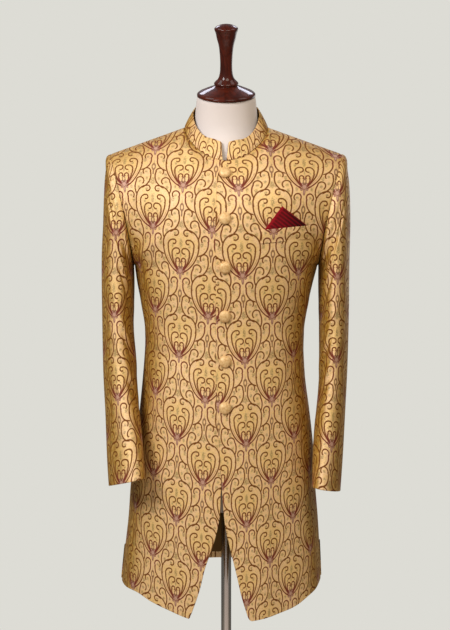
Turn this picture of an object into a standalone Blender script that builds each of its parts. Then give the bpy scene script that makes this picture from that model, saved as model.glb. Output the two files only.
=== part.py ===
"""Sherwani coat on a limbless dress form.

Metres, +Z up. The origin is on the floor under the pole, the coat faces -Y and +X is the wearer's left.
"""
import bpy
import bmesh
from math import cos, exp, floor, hypot, pi, radians, sin, sqrt
from mathutils import Matrix, Vector

# ---------------------------------------------------------------- driving sizes
WALL = 0.0020            # body cloth with its lining
SLEEVE_WALL = 0.0018
COLLAR_WALL = 0.0016
COLLAR_SEAT = 0.0008     # how high the band starts above the neck seam
GAP = 0.0003             # between pieces that meet
SEAM_STRIP = 0.0010      # narrow flat strip below the top edge, as a share of the levels
LAP_LIFT = WALL + 0.0005 # how far the top front stands off the one beneath it

ARMPIT_Z = 1.207
CHEST_Z = 1.250          # the body rounds over towards the shoulders above this height
TOP_LEVEL = 1.42         # level of the neckline and the shoulder seam; 0 is the hem, 1 the armpit
NECK_COLUMN = 0.40       # column at which the neckline turns into the shoulder seam
NECK_STEPS = 7           # straight steps of a quarter of the neckline
PAST_NECK_STEPS = 5
LOWER_ROWS = 12          # rows of a panel below the armpit
HEM_LEVELS = (0.010, 0.028)  # extra levels that round the front corner at the hem
ARMHOLE_STEPS = 11       # steps from the armpit to the shoulder tip
SEAM_COLUMN = 0.004      # narrow flat strip beside the side seam, as a share of the columns
SLIT_TOP_LEVEL = 0.36    # the side slits run from the hem to this level
SLIT_OPEN = 0.0022       # half the width of a side slit at the hem
ARMPIT_EASE = 0.0002     # extra half gap where the side seam meets the armhole

NECK_HALF_WIDTH = 0.0789
NECK_HALF_DEPTH = 0.0750
NECK_MIDDLE_Y = -0.0130
NECK_MIDDLE_Z = 1.4546
NECK_FRONT_DROP = 0.0405   # how far the neck seam's front lies below its middle
NECK_SIDE_LIFT = 0.0131    # how far its sides rise above that slope
SHOULDER_TIP = Vector((0.2220, 0.0100, 1.4185))
ARMPIT_X = 0.1775
ARMHOLE_HALF_DEPTH = 0.078

FORM_BOTTOM_Z = 0.745
FORM_AROUND = 32
POLE_RADIUS = 0.0098
BASE_RADIUS = 0.170
BASE_EDGE = 0.010
BASE_HEIGHT = 0.016
BOSS_HEIGHT = 0.045
NECK_TILT = radians(19.0)

# Body sections below the armpit: height, half width to -X, half width to +X, depth to the front, to the back
SECTIONS = [
    (0.540, 0.2070, 0.1860, 0.1500, 0.1500),
    (0.600, 0.2022, 0.1834, 0.1480, 0.1490),
    (0.650, 0.1973, 0.1815, 0.1455, 0.1470),
    (0.720, 0.1893, 0.1775, 0.1410, 0.1440),
    (0.780, 0.1850, 0.1725, 0.1370, 0.1410),
    (0.860, 0.1757, 0.1680, 0.1310, 0.1380),
    (0.930, 0.1670, 0.1602, 0.1260, 0.1330),
    (0.990, 0.1609, 0.1523, 0.1200, 0.1240),
    (1.040, 0.1570, 0.1495, 0.1160, 0.1140),
    (1.080, 0.1560, 0.1497, 0.1150, 0.1080),
    (1.130, 0.1634, 0.1578, 0.1190, 0.1120),
    (1.170, 0.1715, 0.1670, 0.1240, 0.1180),
    (1.207, 0.1768, 0.1765, 0.1280, 0.1220),
    (1.240, 0.1780, 0.1780, 0.1300, 0.1240),
]
ROUNDNESS = 2.3          # exponent of each section's superellipse
ROW_STEP = 0.2           # columns between the points of an upper row

# Directions of the cloth at its top edge, on the +X back: at the neck's centre, its side, the shoulder
SLOPE_NECK_CENTRE = (0.0, -0.38, 0.60)
SLOPE_NECK_SIDE = (-0.10, -0.75, 0.03)
SLOPE_SHOULDER = (0.0, -0.80, 0.0)

# Upper rows, from the centre (column 0) to the armhole (column 1): level, points
FRONT_ROWS = [
    (1.13, [(0.000, -0.1310, 1.290), (0.043, -0.1300, 1.290), (0.088, -0.1230, 1.291),
            (0.130, -0.1080, 1.292), (0.163, -0.0890, 1.291), (0.1880, -0.0720, 1.290)]),
    (1.27, [(0.000, -0.1130, 1.352), (0.044, -0.1130, 1.354), (0.090, -0.1050, 1.360),
            (0.134, -0.0880, 1.368), (0.174, -0.0700, 1.372), (0.2080, -0.0560, 1.372)]),
]
BACK_ROWS = [
    (1.13, [(0.000, 0.1190, 1.290), (0.043, 0.1210, 1.290), (0.088, 0.1190, 1.291),
            (0.130, 0.1090, 1.292), (0.163, 0.0940, 1.291), (0.1900, 0.0820, 1.290)]),
    (1.29, [(0.000, 0.0900, 1.402), (0.043, 0.0900, 1.400), (0.088, 0.0850, 1.397),
            (0.132, 0.0760, 1.391), (0.174, 0.0660, 1.384), (0.2100, 0.0580, 1.376)]),
]

# The two front edges: height, x. The top front's edge laps past the centre and leaves it below the buttons.
TOP_EDGE = [(0.5495, 0.0500), (0.5530, 0.0447), (0.5575, 0.0415), (0.5640, 0.0392), (0.593, 0.0301),
            (0.639, 0.0194), (0.682, 0.0087), (0.722, -0.0005),
            (0.765, -0.0052), (0.805, -0.0080), (0.860, -0.0115), (0.920, -0.0160), (0.960, -0.0176),
            (1.140, -0.0180), (1.317, -0.0180), (1.355, -0.0160), (1.398, -0.0090)]
UNDER_EDGE = [(0.545, -0.0735), (0.570, -0.0632), (0.611, -0.0493), (0.648, -0.0402), (0.691, -0.0249),
              (0.734, -0.0142), (0.807, -0.0085), (0.850, 0.0010), (0.900, 0.0150), (0.940, 0.0200),
              (1.140, 0.0210), (1.317, 0.0200), (1.355, 0.0170), (1.398, 0.0100)]

# Hem of each front from its centre to its side seam: column, height
HEM_FRONT = {
    -1: [(0.0, 0.5480), (0.15, 0.5500), (0.30, 0.5566), (0.39, 0.5640), (0.50, 0.5738), (0.57, 0.5815),
         (0.66, 0.5930), (0.80, 0.5968), (1.0, 0.5975)],
    1: [(0.0, 0.5490), (0.18, 0.5511), (0.40, 0.5610), (0.55, 0.5732), (0.66, 0.5885), (0.80, 0.5985),
        (1.0, 0.6030)],
}
HEM_SIDE = {side: table[-1][1] for side, table in HEM_FRONT.items()}
HEM_BACK = 0.6020

# Soft hanging folds of the skirt: half angle in degrees, width in degrees, height of the ridge at the hem
FRONT_FOLDS = {1: [(62, 9, 0.0050), (38, 8, -0.0030)], -1: [(66, 9, 0.0040), (42, 9, -0.0030)]}
BACK_FOLDS = {1: [(52, 10, 0.0045), (26, 10, -0.0030)], -1: [(52, 10, 0.0045), (26, 10, -0.0030)]}
FOLD_TOP_Z = 1.02

# Sleeve rings: outer height, outer x, inner height, inner x, middle y, half depth, turn in degrees,
# and how much higher the front lies than the middle
SLEEVE_FOLD = radians(165)   # how far the sleeve turns back on the body at the armpit
SLEEVE_HEAD_STRIP = 0.003
SLEEVE_EASE = 0.0003         # extra gap at the armpit
SLEEVE_RINGS = {
    1: [(1.386, 0.2330, 1.188, 0.1780, 0.004, 0.0790, 0, 0.000),
        (1.345, 0.2368, 1.160, 0.1780, 0.002, 0.0785, 0, 0.000),
        (1.285, 0.2385, 1.125, 0.1782, 0.000, 0.0770, 2, 0.000),
        (1.205, 0.2374, 1.080, 0.1784, -0.003, 0.0740, 4, 0.000),
        (1.105, 0.2365, 1.025, 0.1780, -0.010, 0.0700, 6, 0.000),
        (1.010, 0.2333, 0.965, 0.1752, -0.024, 0.0660, 8, 0.000),
        (0.925, 0.2275, 0.903, 0.1672, -0.046, 0.0620, 10, 0.002),
        (0.850, 0.2215, 0.845, 0.1620, -0.072, 0.0580, 12, 0.005),
        (0.7855, 0.2153, 0.7925, 0.1595, -0.096, 0.0555, 14, 0.008)],
    -1: [(1.386, 0.2310, 1.188, 0.1775, 0.004, 0.0790, 0, 0.000),
         (1.345, 0.2340, 1.160, 0.1772, 0.002, 0.0785, 0, 0.000),
         (1.285, 0.2365, 1.125, 0.1775, 0.000, 0.0770, 2, 0.000),
         (1.215, 0.2398, 1.080, 0.1776, -0.003, 0.0740, 4, 0.000),
         (1.105, 0.2390, 1.025, 0.1722, -0.012, 0.0700, 7, 0.000),
         (1.005, 0.2362, 0.960, 0.1672, -0.034, 0.0650, 13, 0.000),
         (0.925, 0.2300, 0.903, 0.1592, -0.066, 0.0610, 19, 0.003),
         (0.850, 0.2245, 0.850, 0.1525, -0.100, 0.0570, 24, 0.007),
         (0.8025, 0.2195, 0.8095, 0.1479, -0.122, 0.0540, 26, 0.012)],
}

# Collar: height of the band at distances along the neck seam from its front ends
COLLAR_HEIGHTS = [
    (0.000, 0.0355), (0.030, 0.0335), (0.045, 0.0285), (0.069, 0.0235), (0.090, 0.0225),
    (0.110, 0.0245), (0.140, 0.0275), (0.170, 0.0305), (0.248, 0.0330),
]
COLLAR_LEAN = 0.0155      # how far its top leans in
COLLAR_CORNER = 0.008    # radius of the corners at the notch
COLLAR_ROWS = (0.0, 0.30, 0.62, 0.86, 1.0)
COLLAR_ENDS = (0.0, 0.010, 0.025, 0.050, 0.085, 0.13)   # extra turns beside the notch
NOTCH_X = -0.0030
NOTCH_HALF_TOP = 0.0072

BUTTON_X = -0.0023
BUTTON_Z = [1.3762, 1.2923, 1.2033, 1.1132, 1.0290, 0.9439]
BUTTON_RADIUS = 0.0113
BUTTON_HEIGHT = 0.0075
BUTTON_RIM = 0.0016      # height of the dome's widest place
BUTTON_SEAT = 0.00055    # between its back and the cloth
BUTTON_STEPS = 14

# Breast pocket, on the wearer's left front: the welt's top edge runs from its inner to its outer end
WELT_INNER = (0.0640, 1.2712)
WELT_OUTER = (0.1560, 1.2802)
WELT_HEIGHT = 0.024
SQUARE_BASE = (0.0698, 0.1496)
SQUARE_PEAK = (0.1021, 1.3151)
SQUARE_HIDDEN = 0.010    # how far it goes down behind the welt
POCKET_STEPS = 10
SQUARE_WALL = 0.0012
WELT_WALL = 0.0015

# Form rings: height, half width, depth to the front, depth to the back, middle y, exponent
FORM_RINGS = [
    (0.745, 0.1420, 0.1040, 0.1120, 0.000, 2.2),
    (0.760, 0.1500, 0.1100, 0.1180, 0.000, 2.2),
    (0.820, 0.1560, 0.1150, 0.1240, 0.000, 2.2),
    (0.900, 0.1530, 0.1140, 0.1210, 0.000, 2.2),
    (0.980, 0.1430, 0.1080, 0.1100, 0.000, 2.2),
    (1.060, 0.1380, 0.1030, 0.0970, 0.000, 2.2),
    (1.130, 0.1450, 0.1060, 0.1000, 0.000, 2.2),
    (1.200, 0.1590, 0.1140, 0.1080, 0.000, 2.2),
    (1.270, 0.1680, 0.1160, 0.1100, 0.000, 2.2),
    (1.330, 0.1800, 0.1040, 0.1000, 0.001, 2.1),
    (1.380, 0.1900, 0.0780, 0.0760, 0.002, 2.0),
    (1.408, 0.1930, 0.0580, 0.0560, 0.003, 2.0),
]
SHOULDER_RIDGE_RINGS = [
    # height below the ridge's inner end, depth to the front, to the back, exponent
    (0.0400, 0.0540, 0.0500, 1.3),
    (0.0260, 0.0460, 0.0420, 1.1),
    (0.0130, 0.0460, 0.0400, 0.95),
]
NECK_RINGS = [
    # height on the neck's own axis, half width, half depth
    (0.000, 0.0640, 0.0540),
    (0.016, 0.0600, 0.0525),
    (0.036, 0.0585, 0.0520),
    (0.056, 0.0566, 0.0520),
    (0.066, 0.0551, 0.0520),
]
NECK_FOOT = Vector((0.0, 0.0000, 1.4640))
SEAT_GAP = 0.0005

CAP_STEPS = 20
# Turned neck cap with its finial: radius, height on its own axis
CAP_PROFILE = [
    (0.0000, 0.1350), (0.0080, 0.1343), (0.0150, 0.1322), (0.0205, 0.1290), (0.0222, 0.1268),
    (0.0219, 0.1240), (0.0202, 0.1200), (0.0178, 0.1090), (0.0143, 0.0960), (0.0120, 0.0775),
    (0.0111, 0.0565), (0.0115, 0.0450), (0.0145, 0.0365), (0.0200, 0.0305), (0.0224, 0.0270),
    (0.0227, 0.0235), (0.0213, 0.0208), (0.0225, 0.0196), (0.0330, 0.0155), (0.0450, 0.0100),
    (0.0535, 0.0055), (0.0553, 0.0035), (0.0553, 0.0000), (0.0000, 0.0000),
]

# Colours: red, green, blue, roughness, metallic
BROCADE = (0.67, 0.43, 0.22, 0.45, 0.0)
BUTTON_GOLD = (0.78, 0.58, 0.34, 0.30, 0.8)
DEEP_RED = (0.16, 0.004, 0.006, 0.70, 0.0)
FORM_CLOTH = (0.70, 0.62, 0.56, 0.80, 0.0)
DARK_WOOD = (0.05, 0.015, 0.008, 0.15, 0.0)
CHROME = (0.60, 0.60, 0.60, 0.12, 1.0)


# ---------------------------------------------------------------- helpers
def smooth(x, knots, values, end_slope=None):
    """Value at x of a curve through the given values (numbers or vectors), with matching slopes."""
    last = len(knots) - 1
    i = 0
    while i < last - 1 and x > knots[i + 1]:
        i += 1

    def chord(k):
        return (values[k + 1] - values[k]) * (1.0 / (knots[k + 1] - knots[k]))

    def slope(k):
        if k == last and end_slope is not None:
            return end_slope
        if k == 0:
            return chord(0)
        if k == last:
            return chord(last - 1)
        before = knots[k] - knots[k - 1]
        after = knots[k + 1] - knots[k]
        return (chord(k - 1) * after + chord(k) * before) * (1.0 / (before + after))

    step = knots[i + 1] - knots[i]
    t = (x - knots[i]) / step
    t2 = t * t
    t3 = t2 * t
    return (values[i] * (2 * t3 - 3 * t2 + 1) + slope(i) * (step * (t3 - 2 * t2 + t))
            + values[i + 1] * (3 * t2 - 2 * t3) + slope(i + 1) * (step * (t3 - t2)))


def table_value(z, table, column):
    """Smooth value of one column of a table whose first column is the height."""
    return smooth(z, [row[0] for row in table], [row[column] for row in table])


def fade(x, start, end):
    """0 at start, 1 at end, smooth between."""
    t = min(1.0, max(0.0, (x - start) / (end - start)))
    return t * t * (3 - 2 * t)


def superellipse(angle, half_width, depth, exponent):
    """Point (x, distance to the front) at a polar angle on a quarter superellipse."""
    s = abs(sin(angle)) / half_width
    c = abs(cos(angle)) / depth
    radius = (s ** exponent + c ** exponent) ** (-1.0 / exponent)
    return radius * sin(angle), radius * cos(angle)


def collection(name):
    """A new collection in the scene."""
    made = bpy.data.collections.new(name)
    bpy.context.scene.collection.children.link(made)
    return made


def material(name, look):
    """A plain Principled material."""
    made = bpy.data.materials.new(name)
    made.use_nodes = True
    shader = made.node_tree.nodes["Principled BSDF"]
    shader.inputs["Base Color"].default_value = (look[0], look[1], look[2], 1.0)
    shader.inputs["Roughness"].default_value = look[3]
    shader.inputs["Metallic"].default_value = look[4]
    return made


def mesh_object(name, bm, look, home):
    """Turns a bmesh into a smooth-shaded object with its own material."""
    mesh = bpy.data.meshes.new(name)
    bm.to_mesh(mesh)
    bm.free()
    mesh.shade_smooth()
    mesh.set_sharp_from_angle(angle=radians(40))
    made = bpy.data.objects.new(name, mesh)
    made.data.materials.append(material(name + "_material", look))
    home.objects.link(made)
    return made


def cloth_piece(name, rows, wall, look, home, closed=False, flip=False):
    """A panel: an open surface through rows of points, given its wall inwards by Solidify."""
    bm = bmesh.new()
    grid = [[bm.verts.new(point) for point in row] for row in rows]
    across = len(rows[0]) if closed else len(rows[0]) - 1
    for lower, upper in zip(grid, grid[1:]):
        for j in range(across):
            k = (j + 1) % len(lower)
            corners = [lower[j], lower[k], upper[k], upper[j]]
            bm.faces.new(corners[::-1] if flip else corners)
    made = mesh_object(name, bm, look, home)
    shell = made.modifiers.new("Wall", 'SOLIDIFY')
    shell.thickness = wall
    shell.offset = -1.0
    shell.use_even_offset = False
    shell.use_quality_normals = True
    return made


def loft(name, rings, look, home):
    """A closed body through rings of points, bottom to top, with flat ends."""
    bm = bmesh.new()
    grid = [[bm.verts.new(point) for point in ring] for ring in rings]
    for lower, upper in zip(grid, grid[1:]):
        for j in range(len(lower)):
            k = (j + 1) % len(lower)
            bm.faces.new([lower[j], lower[k], upper[k], upper[j]])
    bm.faces.new(grid[0][::-1])
    bm.faces.new(grid[-1])
    return mesh_object(name, bm, look, home)


def turned(name, profile, steps, look, home):
    """A turned body: a profile of (radius, height) that runs down its outer side, spun by Screw."""
    bm = bmesh.new()
    points = [bm.verts.new((radius, 0.0, height)) for radius, height in profile]
    for first, second in zip(points, points[1:]):
        bm.edges.new((first, second))
    made = mesh_object(name, bm, look, home)
    spin = made.modifiers.new("Turned", 'SCREW')
    spin.steps = steps
    spin.render_steps = steps
    spin.use_merge_vertices = True
    spin.merge_threshold = 0.0001
    spin.use_smooth_shade = True
    return made


# ---------------------------------------------------------------- the coat's outer face
def neck_corner(index):
    """Corner of the neck seam, which runs straight from one corner to the next."""
    turn = index * (pi / 2) / NECK_STEPS
    height = NECK_MIDDLE_Z - NECK_FRONT_DROP * cos(turn) - NECK_SIDE_LIFT * cos(2 * turn)
    return Vector((NECK_HALF_WIDTH * sin(turn), NECK_MIDDLE_Y - NECK_HALF_DEPTH * cos(turn), height))


def neckline(turn):
    """Point of the neck seam; turn 0 is the centre front, pi/2 the side towards +X, pi the back."""
    index = turn / (pi / 2) * NECK_STEPS
    before = floor(index + 1e-6)
    return neck_corner(before).lerp(neck_corner(before + 1), index - before)


def armhole(turn, side, face):
    """Point of the armhole seam; turn 0 is the shoulder tip, pi the armpit, face -1 front or 1 back."""
    up = 0.5 * (1 + cos(turn))
    x = ARMPIT_X + (SHOULDER_TIP.x - ARMPIT_X) * up ** 1.5
    y = SHOULDER_TIP.y * up + face * ARMHOLE_HALF_DEPTH * sin(turn)
    z = ARMPIT_Z + (SHOULDER_TIP.z - ARMPIT_Z) * up
    return Vector((side * x, y, z))


def armhole_turn(level):
    """How far round the armhole a level reaches."""
    return pi * smooth(level, [1.0, 1.13, 1.27, TOP_LEVEL], [1.0, 0.60, 0.31, 0.0])


def armhole_level(turn):
    """Level at which a turn of the armhole lies."""
    low, high = 1.0, TOP_LEVEL
    for _ in range(30):
        middle = 0.5 * (low + high)
        if armhole_turn(middle) > turn:
            low = middle
        else:
            high = middle
    return 0.5 * (low + high)


def hem_height(column, side, face):
    """Height of the hem at a column."""
    if face > 0:
        return HEM_BACK + (HEM_SIDE[side] - HEM_BACK) * fade(column, 0.0, 1.0)
    columns, heights = zip(*HEM_FRONT[side])
    return smooth(abs(column), columns, heights)


def skirt_fold(column, side, face, z):
    """How far a hanging fold lifts the skirt."""
    folds = (FRONT_FOLDS if face < 0 else BACK_FOLDS)[side]
    drop = fade(z, FOLD_TOP_Z, 0.60)
    return drop * sum(height * exp(-((90 * column - at) / width) ** 2) for at, width, height in folds)


def lower_point(column, side, face, z):
    """Outer face below the armpit; column 0 is the centre and 1 the side."""
    half_width = table_value(z, SECTIONS, 1 if side * column < 0 else 2)
    depth = table_value(z, SECTIONS, 3 if face < 0 else 4)
    x, y = superellipse(column * pi / 2, half_width, depth, ROUNDNESS)
    scale = 1 + skirt_fold(column, side, face, z) / hypot(x, y)
    return Vector((side * x * scale, face * y * scale, z))


def row_point(column, side, points):
    """Point of an upper row, which is mirrored across the centre."""
    at = abs(column)
    place = smooth(at, [ROW_STEP * k for k in range(len(points))], [Vector(p) for p in points])
    return Vector((side * place.x * (1 if column >= 0 else -1), place.y, place.z))


def top_point(column, side, face):
    """Point of the neckline or, past the neck, of the shoulder seam."""
    if column <= NECK_COLUMN:
        turn = column / NECK_COLUMN * (pi / 2)
        place = neckline(turn if face < 0 else pi - turn)
        return Vector((side * place.x, place.y, place.z))
    along = (column - NECK_COLUMN) / (1 - NECK_COLUMN)
    place = neckline(pi / 2).lerp(SHOULDER_TIP, along)
    return Vector((side * place.x, place.y, place.z))


def top_slope(column, side, face):
    """Direction in which the cloth arrives at its top edge: level over the shoulder, rising at the neck."""
    over = fade(abs(column), 0.06, NECK_COLUMN)
    along = fade(abs(column), NECK_COLUMN, 0.7)
    slope = Vector(SLOPE_NECK_CENTRE).lerp(Vector(SLOPE_NECK_SIDE).lerp(Vector(SLOPE_SHOULDER), along), over)
    return Vector((side * slope.x, face * slope.y, slope.z))


def body_point(column, level, side, face):
    """Outer face of the coat's body; side is the sign of x, face -1 front or 1 back."""
    if level <= 0.95:
        foot = hem_height(column, side, face)
        return lower_point(column, side, face, foot + (ARMPIT_Z - foot) * level)
    foot = hem_height(column, side, face)
    rows = FRONT_ROWS if face < 0 else BACK_ROWS
    knots = [0.90, 0.95, 1.0] + [row[0] for row in rows] + [TOP_LEVEL]
    places = [lower_point(column, side, face, foot + (ARMPIT_Z - foot) * k) for k in knots[:3]]
    places += [row_point(column, side, row[1]) for row in rows]
    places.append(top_point(column, side, face))
    place = smooth(level, knots, places, top_slope(column, side, face))
    if level > 1.0 and column > 0.4:
        edge = body_edge_error(level, side, face, knots, rows)
        place = place + edge * fade(column, 0.4, 1.0) ** 2
    return place


def body_edge_error(level, side, face, knots, rows):
    """How far the rows' ends miss the armhole seam at a level."""
    places = [lower_point(1.0, side, face, ARMPIT_Z * k + HEM_SIDE[side] * (1 - k)) for k in knots[:3]]
    places += [row_point(1.0, side, row[1]) for row in rows]
    places.append(top_point(1.0, side, face))
    reached = smooth(level, knots, places, top_slope(1.0, side, face))
    return armhole(armhole_turn(level), side, face) - reached


def lap_lift(x, z):
    """How far the top front stands off near the centre, where the other front lies beneath it."""
    return LAP_LIFT * (1 - fade(x, 0.028, 0.062)) * fade(z, 0.70, 0.82)


def outward(column, level, side, face):
    """Unit normal of the body's outer face."""
    step = 0.004
    across = body_point(column + step, level, side, face) - body_point(column - step, level, side, face)
    high = min(level + step, TOP_LEVEL)
    up = body_point(column, high, side, face) - body_point(column, level - step, side, face)
    normal = across.cross(up).normalized()
    place = body_point(column, level, side, face)
    from_inside = place - Vector((0.0, 0.0, min(place.z, CHEST_Z)))
    return normal if normal.dot(from_inside) > 0 else -normal


def front_point(column, level, side):
    """Outer face of a front, with the lap's lift on the wearer's left one."""
    place = body_point(column, level, side, -1)
    if side > 0:
        lift = lap_lift(place.x, place.z)
        if lift > 0:
            forward = Vector((0.0, -1.0, 0.0))
            away = outward(column, level, side, -1).lerp(forward, fade(level, 1.30, TOP_LEVEL))
            place = place + away * lift
    return place


def edge_column(level, side):
    """Column at which a front's edge crosses a level."""
    table = TOP_EDGE if side > 0 else UNDER_EDGE
    low, high = -0.40, 0.60
    for _ in range(24):
        middle = 0.5 * (low + high)
        place = body_point(middle, level, side, -1)
        if side * (place.x - table_value(place.z, table, 1)) < 0:
            low = middle
        else:
            high = middle
    return 0.5 * (low + high)


# ---------------------------------------------------------------- rows and columns
def levels():
    """Levels of a panel's rows; above the armpit they meet the armhole at even turns."""
    lower = [0.0, *HEM_LEVELS] + [k / LOWER_ROWS for k in range(1, LOWER_ROWS)]
    upper = [armhole_level(pi * (1 - k / ARMHOLE_STEPS)) for k in range(ARMHOLE_STEPS)]
    return lower + upper + [TOP_LEVEL - SEAM_STRIP, TOP_LEVEL]


def columns_between(start):
    """Columns of a row that starts at a given column: close together up to the neck's side."""
    neck = [NECK_COLUMN * k / NECK_STEPS for k in range(NECK_STEPS + 1)]
    past = [NECK_COLUMN + (1 - NECK_COLUMN) * k / PAST_NECK_STEPS for k in range(1, PAST_NECK_STEPS)]
    return [start] + [column for column in neck if column > start + 0.012] + past + [1 - SEAM_COLUMN, 1.0]


def seam_shift(level, face):
    """Keeps a panel half a gap from its side seam, and a little more at the armpit and in the slit."""
    if level > 1.001:
        return Vector()
    slit = SLIT_OPEN * (1 - fade(level, 0.0, SLIT_TOP_LEVEL))
    armpit = ARMPIT_EASE * fade(level, 0.93, 1.0)
    return Vector((0.0, face * (0.5 * GAP + slit + armpit), 0.0))


def front_panel(name, side, look, home):
    """One front, shoulder to hem, from its front edge to the side seam."""
    top_start = edge_column(TOP_LEVEL, side)
    shares = [(column - top_start) / (1 - top_start) for column in columns_between(top_start)]
    rows = []
    for level in levels():
        start = edge_column(level, side)
        row = [front_point(start + (1 - start) * share, level, side) for share in shares]
        for place in row[-2:]:
            place += seam_shift(level, -1)
        rows.append(row)
    shift_top_rows(rows, -1)
    return cloth_piece(name, rows, WALL, look, home, flip=side < 0)


def shift_top_rows(rows, face):
    """Moves the two rows at the shoulder half a gap from the seam."""
    for place in rows[-2] + rows[-1]:
        place.y += face * 0.5 * GAP * fade(abs(place.x), 0.060, 0.075)


def back_panel(name, look, home):
    """The whole back, from one side seam to the other."""
    rows = []
    for level in levels():
        half = {}
        for side in (-1, 1):
            points = [body_point(column, level, side, 1) for column in columns_between(0.0)]
            for place in points[-2:]:
                place += seam_shift(level, 1)
            half[side] = points
        rows.append(half[-1][:0:-1] + half[1])
    shift_top_rows(rows, 1)
    return cloth_piece(name, rows, WALL, look, home, flip=True)


# ---------------------------------------------------------------- sleeves and collar
def sleeve_head(turn, side):
    """The sleeve's first two points at a turn: beside the armhole seam, then a little way on."""
    face = -1 if sin(turn) >= 0 else 1
    half_turn = turn if turn <= pi else 2 * pi - turn
    seam = armhole(half_turn, side, face)
    if half_turn < 0.02 or half_turn > pi - 0.02:
        along = Vector((0.0, 1.0, 0.0))
        normal = Vector((0.33 * side, 0.0, 0.94)) if half_turn < 1 else Vector((side, 0.0, 0.0))
    else:
        along = (armhole(half_turn + 0.02, side, face) - armhole(half_turn - 0.02, side, face)).normalized()
        normal = outward(0.975, armhole_level(half_turn), side, face)
    onward = along.cross(normal).normalized()
    if side * onward.x + 0.5 * onward.z < 0:
        onward = -onward
    normal = (normal - along * normal.dot(along)).normalized()
    fold = SLEEVE_FOLD * fade(half_turn, radians(30), pi)
    leave = onward * cos(fold) + normal * sin(fold)
    beside = onward * cos(fold / 2) + normal * sin(fold / 2)
    first = seam + beside * (GAP + SLEEVE_EASE * fade(half_turn, radians(90), pi))
    return first, first + leave * SLEEVE_HEAD_STRIP


def ring_point(turn, side, ring):
    """Point of a sleeve ring; turn 0 is the outer side, pi/2 the front."""
    high, outer, low, inner, middle_y, half_depth, twist_degrees, front_lift = ring
    twist = radians(twist_degrees)
    half_x = 0.5 * (outer - inner)
    half_width = sqrt(max(half_x ** 2 - (half_depth * sin(twist)) ** 2, (0.6 * half_x) ** 2)) / cos(twist)
    across = half_width * cos(turn)
    forward = half_depth * sin(turn)
    x = 0.5 * (outer + inner) + across * cos(twist) - forward * sin(twist)
    y = middle_y - forward * cos(twist) - across * sin(twist)
    z = 0.5 * (high + low) + 0.5 * (high - low) * cos(turn) + front_lift * sin(turn)
    return Vector((side * x, y, z))


def sleeve(name, side, look, home):
    """A sleeve: a bent tube from the armhole seam to the cuff."""
    around = 2 * ARMHOLE_STEPS
    table = SLEEVE_RINGS[side]
    knots = [0.0, 0.08] + [1.0 + k for k in range(len(table))]
    rows = []
    columns = []
    for j in range(around):
        turn = 2 * pi * j / around
        first, second = sleeve_head(turn, side)
        columns.append([first, second] + [ring_point(turn, side, ring) for ring in table])
    samples = [0.0, 0.08, 0.35, 0.65] + [1.0 + 0.5 * k for k in range(2 * len(table) - 1)]
    for at in samples:
        rows.append([smooth(at, knots, column) for column in columns])
    return cloth_piece(name, rows, SLEEVE_WALL, look, home, closed=True, flip=side < 0)


def collar(name, look, home):
    """The stand collar: one band round the neckline, parted at the throat, with rounded corners."""
    start = NOTCH_X / NECK_HALF_WIDTH
    reach = 2 * pi
    corners = [k * (pi / 2) / NECK_STEPS for k in range(1, 4 * NECK_STEPS)]
    turns = [start + part for part in COLLAR_ENDS] + corners
    turns += [start + reach - part for part in reversed(COLLAR_ENDS)]
    rows = []
    for up in COLLAR_ROWS:
        rows.append([collar_point(turn, up, start) for turn in turns])
    return cloth_piece(name, rows, COLLAR_WALL, look, home)


def collar_point(turn, up, start):
    """Outer face of the collar; its ends are at turns start and start + 2 pi, up goes 0 to 1."""
    place = neckline(turn)
    side = 1 if turn < pi else -1
    from_end = min(turn - start, start + 2 * pi - turn) * NECK_HALF_WIDTH
    height = table_value(from_end, COLLAR_HEIGHTS, 1)
    inset = max(0.0, 1 - from_end / COLLAR_CORNER)
    height -= COLLAR_CORNER * 0.62 * (1 - sqrt(max(0.0, 1 - inset * inset)))
    inward = Vector((-place.x, NECK_MIDDLE_Y - place.y, 0.0)).normalized()
    moved = place + inward * (COLLAR_LEAN * up) + Vector((0.0, 0.0, COLLAR_SEAT + height * up))
    near = max(0.0, 1 - from_end / 0.030)
    moved.x += side * (GAP + NOTCH_HALF_TOP * up ** 0.8 * near * near)
    if side > 0:
        moved.y -= lap_lift(place.x, place.z)
    return moved


# ---------------------------------------------------------------- what lies on the fronts
def locate(x, z):
    """Column and level of the wearer's left front at a given x and height."""
    column, level = 0.3, 1.1
    for _ in range(40):
        place = body_point(column, level, 1, -1)
        column += (x - place.x) / 0.24
        level += (z - place.z) / 0.62
    return column, level


def on_front(x, z, lift):
    """Point of the wearer's left front at x and z, moved out by lift, with its normal."""
    column, level = locate(x, z)
    normal = outward(column, level, 1, -1)
    return front_point(column, level, 1) + normal * lift, normal


def button(name, index, home):
    """A domed button on a short shank, flat at the back."""
    radius, high = BUTTON_RADIUS, BUTTON_HEIGHT
    profile = [(0.0, high)]
    for turn in (0.35, 0.75, 1.15, pi / 2):
        profile.append((radius * sin(turn), BUTTON_RIM + (high - BUTTON_RIM) * cos(turn)))
    profile += [(radius * 0.93, 0.0), (0.0, 0.0)]
    made = turned(name, profile, BUTTON_STEPS, BUTTON_GOLD, home)
    place, normal = on_front(BUTTON_X, BUTTON_Z[index], 0.0)
    turn = normal.to_track_quat('Z', 'Y').to_matrix().to_4x4()
    made.matrix_world = Matrix.Translation(place + normal * BUTTON_SEAT) @ turn
    return made


def welt_edge(x):
    """Height of the pocket's mouth at x."""
    along = (x - WELT_INNER[0]) / (WELT_OUTER[0] - WELT_INNER[0])
    return WELT_INNER[1] + (WELT_OUTER[1] - WELT_INNER[1]) * along


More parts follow.
